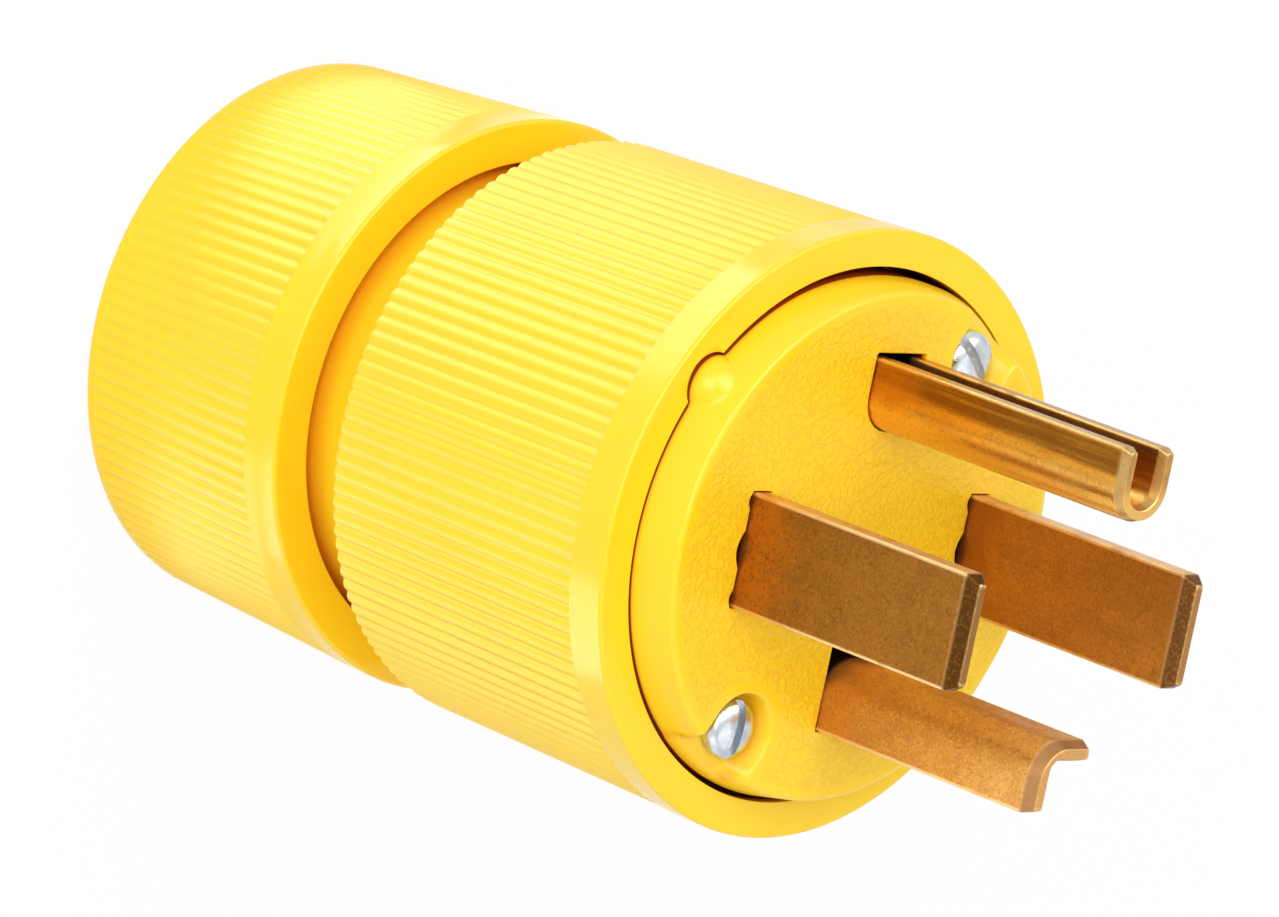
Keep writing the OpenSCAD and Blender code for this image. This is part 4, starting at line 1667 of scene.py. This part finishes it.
@dataclass(frozen=True)
class Blade(Assembly):
    """One blade with its bevelled tip, and the tang behind the face."""

    name: str
    node: str
    shape: BladeShape
    turn: float
    inner: float
    offset: float
    thick: float
    tang_half: float
    tip: float
    bevel_len: float
    bevel_depth: float
    edge: float = 0.2
    # narrow sides carry wear and painted sheen; the channel's inner faces carry painted sheen
    narrow_wear_and_sheen: float = 0.75
    inner_sheen: float = 0.3
    hole_r: float = 2.0
    hole_z: float = 48.4
    hole_steps: int = 48
    ledge: float = 43.8
    tang_round: float = 0.4
    flat_half: float = 4.85
    angle_side: float = -0.9
    angle_leg: float = 6.1
    bend_r: float = 3.2
    crook_r: float = 0.6
    channel_r: float = 2.9
    channel_deep: float = 6.2
    bore_corners: tuple[int, ...] = (3, 4)  # corners and sides inside the channel
    bore_sides: tuple[int, ...] = (2, 3, 4)
    hair: float = 0.01  # keeps the two rounds of a narrow end apart
    small_r: float = 0.5  # rounds below this radius are edges
    edge_steps: int = 4
    bend_steps: int = 14
    land: float = 0.15
    narrow_play: float = 0.3
    bevel_steps: int = 7
    # Rows at the foot of the bevel: height from it, inset, wear, bare metal.
    foot_rows: tuple[tuple[float, ...], ...] = (
        (-0.3, 0.0, 0.0, 0.0), (-0.06, 0.0, 0.2, 0.0), (0.0, 0.02, 0.3, 0.5))
    # Rows at the tip: height from it, inset past the bevel, wear, bare metal.
    tip_rows: tuple[tuple[float, ...], ...] = ((-0.05, 0.0, 0.6, 0.6), (0.0, 0.07, 0.2, 0.4))
    crease: float = 30.0

    def corners(self, inset: float) -> list[Corner]:
        """Draw the section, in the terminal's frame.

        Args:
            inset: How far the outline is drawn in.

        Returns:
            Corners of the section, anticlockwise.
        """
        i, e, near, far = inset, self.edge, self.inner, self.inner + self.thick
        if self.shape is BladeShape.FLAT:
            low, high = self.offset - self.flat_half, self.offset + self.flat_half
            return [Corner(near + i, low + i, e), Corner(far - i, low + i, e),
                    Corner(far - i, high - i, e), Corner(near + i, high - i, e)]
        if self.shape is BladeShape.ANGLE:
            side, inner = self.angle_side, self.angle_side + self.thick
            deep, wide = near + self.angle_leg, side + self.angle_leg
            return [Corner(near + i, side + i, self.bend_r - i), Corner(deep - i, side + i, e),
                    Corner(deep - i, inner - i, e), Corner(far - i, inner - i, self.crook_r + i),
                    Corner(far - i, wide - i, e), Corner(near + i, wide - i, e)]
        outer, bore, deep = self.channel_r - i, self.channel_r - self.thick + i, near + self.channel_deep - i
        outer_r, bore_r = outer - self.hair, bore - self.hair
        return [Corner(near + i, -outer, outer_r), Corner(deep, -outer, e), Corner(deep, -bore, e),
                Corner(far - i, -bore, bore_r), Corner(far - i, bore, bore_r),
                Corner(deep, bore, e), Corner(deep, outer, e), Corner(near + i, outer, outer_r)]

    def outline(self, inset: float) -> tuple[list[Flat], list[float]]:
        """Draw the section with points beside each edge, and the wear and painted sheen of each point.

        Args:
            inset: How far the outline is drawn in.

        Returns:
            The points and their wear and painted sheen.
        """
        corners = self.corners(inset)
        points: list[Flat] = []
        wear_and_sheen: list[float] = []
        arcs = []
        hollow = self.shape is BladeShape.CHANNEL
        for k, corner in enumerate(corners):
            steps = self.edge_steps if corner.r < self.small_r else self.bend_steps
            arcs.append(round_corner(corners[k - 1], corner, corners[(k + 1) % len(corners)], steps))
        for k, run in enumerate(arcs):
            in_bore = hollow and k in self.bore_corners
            worn_and_sheened = 1.0 if corners[k].r < self.small_r else self.inner_sheen * in_bore
            after = arcs[(k + 1) % len(arcs)][0]
            points += run
            wear_and_sheen += [worn_and_sheened] * len(run)
            gap = Vector(after) - Vector(run[-1])
            near = min(self.land, gap.length / 3)
            side_wear_and_sheen = self.narrow_wear_and_sheen if gap.length < self.thick + self.narrow_play else 0.0
            if hollow and k in self.bore_sides:
                side_wear_and_sheen = self.inner_sheen
            for reach in (near, gap.length - near):
                spot = Vector(run[-1]) + gap.normalized() * reach
                points.append((spot.x, spot.y))
                wear_and_sheen.append(side_wear_and_sheen)
        return points, wear_and_sheen

    def tang(self) -> Shell:
        """Build the tang that carries the terminal's screw.

        Returns:
            The tang, lying flat.
        """
        shell = Shell()
        half, last = self.tang_half, self.hole_steps - 1
        spots = ((-half, self.ledge), (half, self.ledge), (half, LEVELS.plate), (-half, LEVELS.plate))
        plate = rounded([Corner(x, y, self.tang_round) for x, y in spots], self.edge_steps)
        hole = arc((0.0, self.hole_z), self.hole_r, 0, 360 * last / self.hole_steps, last)
        shell.prism(plate, [hole], self.inner, self.inner + self.thick)
        return shell

    def build(self, material: bpy.types.Material) -> bpy.types.Object:
        """Build and dress the blade.

        Args:
            material: Its material.

        Returns:
            The piece.
        """
        local = Shell()
        foot = self.tip - self.bevel_len
        levels = [(LEVELS.root, 0.0, 0.0, 0.0), *((foot + rise, *row) for rise, *row in self.foot_rows)]
        start = levels[-1][1]
        for k in range(1, self.bevel_steps):
            share = k / self.bevel_steps
            levels.append((foot + share * self.bevel_len, start + self.bevel_depth * share, 0.0, 1.0))
        for rise, inset, *marks in self.tip_rows:
            levels.append((self.tip + rise, self.bevel_depth + inset, *marks))
        below: Loop | None = None
        for z, inset, worn_and_sheened, sheared in levels:
            points, wear_and_sheen = self.outline(inset)
            wear_and_sheen = [max(worn_and_sheened, 0.0 if sheared == 1.0 else w) for w in wear_and_sheen]
            loop = local.ring(((x, y, z) for x, y in points), wear_and_sheen=wear_and_sheen, sheared=sheared)
            if below is None:
                local.fill(loop, [], False)
            else:
                local.bridge(below, loop)
            below = loop
        local.fill(below, [], True)
        upright = Matrix(((0, 0, 1, 0), (1, 0, 0, self.offset), (0, 1, 0, 0), (0, 0, 0, 1)))
        local.add(self.tang(), upright)
        shell = Shell()
        shell.add(local, Matrix.Rotation(math.radians(self.turn), 4, "Z"))
        piece = shell.make(self.name, self.crease)
        evened(piece)
        return self.dress(piece, self.node, Slot.BLADE, material)


BLADES = (
    Blade("flat_blade_right", "hot_blade_right", BladeShape.FLAT, 0, 12.2, -0.2, 2.0, 5.65, 94.6, 1.2, 0.62),
    Blade("flat_blade_left", "hot_blade_left", BladeShape.FLAT, 180, 12.2, 0.2, 2.0, 5.65, 94.6, 1.2, 0.62),
    Blade("angle_blade", "neutral_blade", BladeShape.ANGLE, -90, 9.5, 2.15, 1.8, 4.2, 93.9, 1.2, 0.45),
    Blade("channel_blade", "ground_blade", BladeShape.CHANNEL, 90, 10.0, 0.0, 1.4, 4.2, 97.8, 0.8, 0.3,
          narrow_wear_and_sheen=0.2),
)


@dataclass(frozen=True)
class AssemblyScrews(Assembly):
    """The two slotted screws that hold the blade face."""

    head_r: float = 2.55
    head_h: float = 1.85
    slot_w: float = 0.9
    slot_depth: float = 0.9
    slot_half: float = 4.0
    slot_over: float = 1.0
    turns: Flat = (-48.0, 86.0)
    inset: float = 0.3  # how far the screws sit in towards the axis
    side: float = 0.7  # height of the upright side of the head
    dome_steps: int = 14
    dome_sweep: float = 84.0
    dome_power: float = 0.75
    tip_chamfer: float = 0.4
    head_chamfer: float = 0.12
    steps: int = 72
    bevel: float = 0.08
    bevel_from: float = 40.0
    crease: float = 35.0

    def screw(self) -> Shell:
        """Build one screw.

        Returns:
            The screw, on the axis.
        """
        shell = Shell()
        r, end, low = LEVELS.screw_r, LEVELS.screw_end, LEVELS.pocket
        dome = []
        for k in range(self.dome_steps + 1):
            a = math.radians(self.dome_sweep * k / self.dome_steps)
            z = low + self.side + (self.head_h - self.side) * math.sin(a)
            dome.append((self.head_r * math.cos(a) ** self.dome_power, z))
        shell.lathe([
            (0, end), (r - self.tip_chamfer, end), (r, end + self.tip_chamfer), (r, low),
            (self.head_r - self.head_chamfer, low), (self.head_r, low + self.head_chamfer),
            *dome, (0, low + self.head_h),
        ], self.steps)
        return shell

    def build(self, material: bpy.types.Material) -> bpy.types.Object:
        """Build and dress the screws.

        Args:
            material: Their material.

        Returns:
            The piece with both screws.
        """
        both, tools = Shell(), Shell()
        top = LEVELS.pocket + self.head_h
        for i, angle in enumerate(self.turns):
            x, y = (c * (1 - self.inset / LEVELS.screw_pitch) for c in LEVELS.screw(i))
            place = Matrix.Translation((x, y, 0)) @ Matrix.Rotation(math.radians(angle), 4, "Z")
            both.add(self.screw(), place)
            tool = Shell()
            half, end = self.slot_w / 2, self.slot_half
            blank = [(-end, -half), (end, -half), (end, half), (-end, half)]
            tool.prism(blank, [], top - self.slot_depth, top + self.slot_over, sheared=1.0)
            tools.add(tool, place)
        piece = both.make("face_screws", self.crease)
        cut(piece, tools.make("slots"), self.crease)
        bevel = piece.modifiers.new("edges", "BEVEL")
        bevel.width, bevel.segments = self.bevel * MM, 2
        bevel.limit_method, bevel.angle_limit = "ANGLE", math.radians(self.bevel_from)
        return self.dress(piece, "assembly_screws", Slot.SCREW, material)


@dataclass(frozen=True)
class InnerParts:
    """Parts inside the body, which keep their CAD shape."""

    nodes: tuple[tuple[Slot, tuple[str, ...]], ...] = (
        (Slot.TERMINALS, ("terminal_body",)),
        (Slot.CLAMP, ("hot_clamp_right", "hot_clamp_left", "neutral_clamp", "ground_clamp", "slip_ring")),
        (Slot.HOT_SCREW, ("hot_screw_right", "hot_screw_left")),
        (Slot.NEUTRAL_SCREW, ("neutral_screw",)),
        (Slot.GROUND_SCREW, ("ground_screw",)),
        (Slot.INSERT, ("threaded_inserts",)),
        (Slot.COLLET, ("grip_collet",)),
        (Slot.GROMMET, ("cord_grommet",)),
    )

    def dress(self, materials: dict[Slot, bpy.types.Material]) -> None:
        """Give each part its material.

        Args:
            materials: Material of each slot.
        """
        for slot, names in self.nodes:
            for name in names:
                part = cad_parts[name]
                for place in part.material_slots:
                    place.material = materials[slot]
                LOG.info("%s keeps its shape", name)


FINISHES: dict[Slot, Finish] = {
    Slot.BODY: RibbedBody("yellow_nylon", (0.94, 0.615, 0.012), (0.95, 0.64, 0.014), (0.19, 0.4)),
    Slot.FACE: TexturedFace(
        "yellow_peel", (0.94, 0.61, 0.012), (0.95, 0.635, 0.014), (0.80, 0.40, 0.01), (0.24, 0.36),
        LEVELS.face, 20.9, LEVELS.screw(0), 4.6),
    Slot.TERMINALS: Moulding(
        "dark_phenolic", (0.02, 0.02, 0.021), (0.035, 0.034, 0.033), (0.35, 0.5), 0.4, 0.01),
    Slot.CLAMP: Plated("clamp_zinc", (0.62, 0.63, 0.65), (0.45, 0.46, 0.48), (0.28, 0.42)),
    Slot.HOT_SCREW: Plated("turned_brass", (0.72, 0.50, 0.18), (0.55, 0.36, 0.12), (0.22, 0.36)),
    Slot.NEUTRAL_SCREW: Plated("bright_nickel", (0.68, 0.68, 0.69), (0.52, 0.52, 0.53), (0.18, 0.3)),
    Slot.GROUND_SCREW: Plated("green_dip", (0.08, 0.32, 0.14), (0.05, 0.22, 0.09), (0.25, 0.4)),
    Slot.SCREW: Plated("bright_zinc", (0.66, 0.70, 0.73), (0.48, 0.52, 0.56), (0.12, 0.25), 1.2),
    Slot.INSERT: Plated("insert_brass", (0.72, 0.50, 0.18), (0.55, 0.36, 0.12), (0.25, 0.4)),
    Slot.COLLET: Moulding("natural_nylon", (0.78, 0.77, 0.72), (0.70, 0.69, 0.64), (0.35, 0.5), 0.5, 0.01),
    Slot.GROMMET: Moulding(
        "grommet_rubber", (0.018, 0.018, 0.018), (0.04, 0.04, 0.04), (0.6, 0.8), 0.25, 0.02, 0.3),
}


BLADE_FINISHES: dict[str, BladeCopper] = {
    "hot_blade_right": BladeCopper(
        "copper_right", (0.52, 0.22, 0.038), (0.30, 0.11, 0.018), (0.43, 0.18, 0.028), (0.97, 0.66, 0.31),
        (0.12, 0.045, 0.008), (0.34, 0.46), lines=0.2, patch=3.0, specks=0.6,
        tones=(Tone((0.36, 0.12, 0.016), UP, LEVELS.face + 7, LEVELS.face + 1, 0.8, 5.0),)),
    "hot_blade_left": BladeCopper(
        "copper_left", (0.34, 0.132, 0.015), (0.19, 0.075, 0.01), (0.27, 0.11, 0.013), (0.97, 0.66, 0.31),
        (0.08, 0.03, 0.004), (0.38, 0.5), lines=0.08, patch=2.5, specks=0.8, metal=0.93,
        tones=(Tone((0.50, 0.175, 0.02), UP, LEVELS.face + 7, LEVELS.face + 1.5, 0.8, 5.0),)),
    "neutral_blade": BladeCopper(
        "golden_angle", (0.67, 0.315, 0.046), (0.40, 0.16, 0.025), (0.56, 0.245, 0.036), (0.95, 0.66, 0.31),
        (0.40, 0.20, 0.075), (0.4, 0.54), lines=0.15, patch=1.6, specks=0.8, metal=0.7,
        tones=(Tone((0.60, 0.21, 0.03), UP, LEVELS.face + 9, LEVELS.face + 2, 0.5, 12.0),
               # painted highlight: paler towards the tip
               Tone((0.92, 0.60, 0.24), UP, 84.0, 93.0, 0.2, 6.0))),
    "ground_blade": BladeCopper(
        "golden_channel", (0.75, 0.34, 0.036), (0.17, 0.055, 0.005), (0.60, 0.255, 0.027), (0.92, 0.58, 0.20),
        (0.55, 0.34, 0.12), (0.26, 0.38), pitch=0.55, lines=0.85, patch=4.0, specks=0.3, metal=0.97,
        tones=(Tone((0.58, 0.22, 0.024), UP, LEVELS.face + 7, LEVELS.face + 1, 0.55, 5.0),
               Tone((1.0, 0.60, 0.14), INWARD, -13.6, -12.0, 0.8, 0.6),
               Tone((0.42, 0.21, 0.05), INWARD, -15.9, -16.1, 0.7, 0.0))),
}


class Lit(Enum):
    """What a lamp lights: everything, only reflections, or everything but reflections."""

    ALL = "all"
    GLOSS = "gloss"
    MATT = "matt"


SHEEN_Z, SHEEN_AIM = 0.001, 0.1  # heights of the lights on the floor and of what they aim at


@dataclass(frozen=True)
class Softbox:
    """One studio light: its place and aim in metres, its size, its brightness and what it lights."""

    name: str
    place: Point
    aim: Point
    size: Flat
    radiance: float
    turn: float = 0.0
    lit: Lit = Lit.ALL

    @classmethod
    def on_floor(cls, name: str, at: Flat, size: Flat, radiance: float, turn: float) -> "Softbox":
        """Lay a light on the floor, facing up, that shows only in reflections.

        Args:
            name: Name of the light.
            at: Its place on the floor in metres.
            size: Its size in metres.
            radiance: Its brightness.
            turn: Its turn about the upright, in degrees.

        Returns:
            The light.
        """
        return cls(name, (*at, SHEEN_Z), (*at, SHEEN_AIM), size, radiance, turn, Lit.GLOSS)

    def light(self) -> None:
        """Hang the light."""
        lamp = bpy.data.lights.new(self.name, "AREA")
        lamp.shape, lamp.size, lamp.size_y = "RECTANGLE", *self.size
        lamp.energy = self.radiance * math.pi * self.size[0] * self.size[1]
        holder = bpy.data.objects.new(self.name, lamp)
        bpy.context.scene.collection.objects.link(holder)
        holder.location = self.place
        way = Vector(self.aim) - Vector(self.place)
        twist = Matrix.Rotation(math.radians(self.turn), 4, "Z")
        holder.rotation_euler = (way.to_track_quat("-Z", "Y").to_matrix().to_4x4() @ twist).to_euler()
        holder.visible_camera = False
        holder.visible_diffuse = self.lit is not Lit.GLOSS
        holder.visible_glossy = self.lit is not Lit.MATT


@dataclass(frozen=True)
class Studio:
    """Camera, floor, world and lights."""

    eye: Point = (-0.6049, 0.1484, 0.6041)
    right: Point = (0.6922, 0.1998, 0.6935)
    up: Point = (-0.0113, 0.9638, -0.2665)
    back: Point = (-0.7217, 0.1766, 0.6693)
    lens: float = 281.47
    sensor: float = 36.0
    sight: float = 20.0
    floor_half: float = 1.5
    floor_tint: Colour = (0.86, 0.86, 0.855)
    floor_rough: float = 0.9
    shine: float = 0.94
    ambient: float = 0.56
    lamps: tuple[Softbox, ...] = (
        Softbox("front_softbox", (-0.465, 0.205, 0.405), (0, 0, 0.05), (0.45, 0.45), 3.45),
        Softbox("top_softbox", (-0.05, 0.265, 0.475), (0, 0, 0.06), (0.3, 0.3), 2.2),
        Softbox("fill_softbox", (0.15, -0.25, 0.6), (0, 0, 0.06), (0.5, 0.5), 0.5),
        Softbox("under_softbox", (-0.25, -0.5, 0.25), (0, 0, 0.05), (0.5, 0.5), 0.5),
        Softbox("back_softbox", (0.5, -0.15, 0.1), (0, 0, 0.05), (0.5, 0.5), 1.4, lit=Lit.MATT),
        Softbox("edge_sheen", (-0.02, 0.22, 0.38), (0, 0, 0.06), (0.2, 0.2), 3.0, lit=Lit.GLOSS),
        Softbox("rim_sheen", (0.17, 0.24, 0.35), (0, 0, 0.065), (0.2, 0.2), 2.4, lit=Lit.GLOSS),
        Softbox.on_floor("upper_sheen_near", (-0.018, 0.034), (0.036, 0.023), 3.6, -22.0),
        Softbox.on_floor("upper_sheen_far", (-0.031, 0.071), (0.072, 0.055), 3.2, -22.0),
        Softbox.on_floor("top_sheen", (0.032, 0.053), (0.026, 0.065), 0.5, 32.0),
        Softbox.on_floor("lower_sheen_near", (-0.031, -0.026), (0.026, 0.024), 2.2, 46.0),
        Softbox.on_floor("lower_sheen_far", (-0.06, -0.06), (0.05, 0.05), 3.2, 45.0),
    )

    def camera(self) -> None:
        """Set up the camera at the photograph's angle."""
        data = bpy.data.cameras.new("camera")
        data.sensor_width, data.lens, data.clip_end = self.sensor, self.lens, self.sight
        holder = bpy.data.objects.new("camera", data)
        bpy.context.scene.collection.objects.link(holder)
        axes = Matrix((self.right, self.up, self.back)).transposed()
        holder.matrix_world = Matrix.Translation(self.eye) @ axes.to_4x4()
        bpy.context.scene.camera = holder

    @staticmethod
    def seen(graph: Graph) -> bpy.types.NodeSocket:
        """Mask the rays that show the background: seen directly, mirrored or through glass.

        Args:
            graph: Graph to add the mask to.

        Returns:
            One for such rays, zero for the rest.
        """
        path = graph.add("LightPath").outputs
        both = graph.maths("MAXIMUM", path["Is Camera Ray"], path["Is Glossy Ray"])
        return graph.maths("MAXIMUM", both, path["Is Transmission Ray"])

    def world(self) -> None:
        """Make the pale world."""
        world = bpy.data.worlds.new("studio")
        bpy.context.scene.world = world
        world.use_nodes = True
        graph = Graph(world.node_tree)
        soft = world.node_tree.nodes["Background"]
        soft.inputs["Color"].default_value, soft.inputs["Strength"].default_value = WHITE, self.ambient
        white = graph.add("Background", {"Color": WHITE, "Strength": 1.0})
        mix = graph.add("MixShader", {0: self.seen(graph), 1: soft.outputs[0], 2: white.outputs[0]})
        graph.link(mix.outputs[0], world.node_tree.nodes["World Output"].inputs["Surface"])

    def floor(self) -> None:
        """Lay the floor that the plug stands on."""
        half = self.floor_half
        corners = [(-half, -half, 0), (half, -half, 0), (half, half, 0), (-half, half, 0)]
        mesh = bpy.data.meshes.new("floor")
        mesh.from_pydata(corners, [], [(0, 1, 2, 3)])
        floor = bpy.data.objects.new("floor", mesh)
        bpy.context.scene.collection.objects.link(floor)
        material = bpy.data.materials.new("floor_white")
        material.use_nodes = True
        graph = Graph(material.node_tree)
        shader = material.node_tree.nodes["Principled BSDF"]
        shader.inputs["Base Color"].default_value = (*self.floor_tint, 1.0)
        shader.inputs["Roughness"].default_value = self.floor_rough
        neck_shade = graph.add("Emission", {"Color": WHITE, "Strength": 1.0})
        share = graph.times(self.seen(graph), self.shine)
        mix = graph.add("MixShader", {0: share, 1: shader.outputs[0], 2: neck_shade.outputs[0]})
        graph.link(mix.outputs[0], material.node_tree.nodes["Material Output"].inputs["Surface"])
        mesh.materials.append(material)

    def build(self) -> None:
        """Set up the whole studio."""
        bpy.context.scene.view_settings.view_transform = "Standard"
        self.camera()
        self.world()
        self.floor()
        for lamp in self.lamps:
            lamp.light()


def main() -> None:
    """Build the studio and the plug, piece by piece."""
    logging.basicConfig(level=logging.INFO, format="%(name)s: %(message)s")
    Studio().build()
    effects = Effects()
    materials = {slot: finish.material(effects) for slot, finish in FINISHES.items()}
    Housing().build(materials[Slot.BODY])
    RearCap().build(materials[Slot.BODY])
    BladeFace().build(materials[Slot.FACE])
    for blade in BLADES:
        blade.build(BLADE_FINISHES[blade.node].material(effects))
    AssemblyScrews().build(materials[Slot.SCREW])
    InnerParts().dress(materials)


if __name__ == "__main__":
    main()
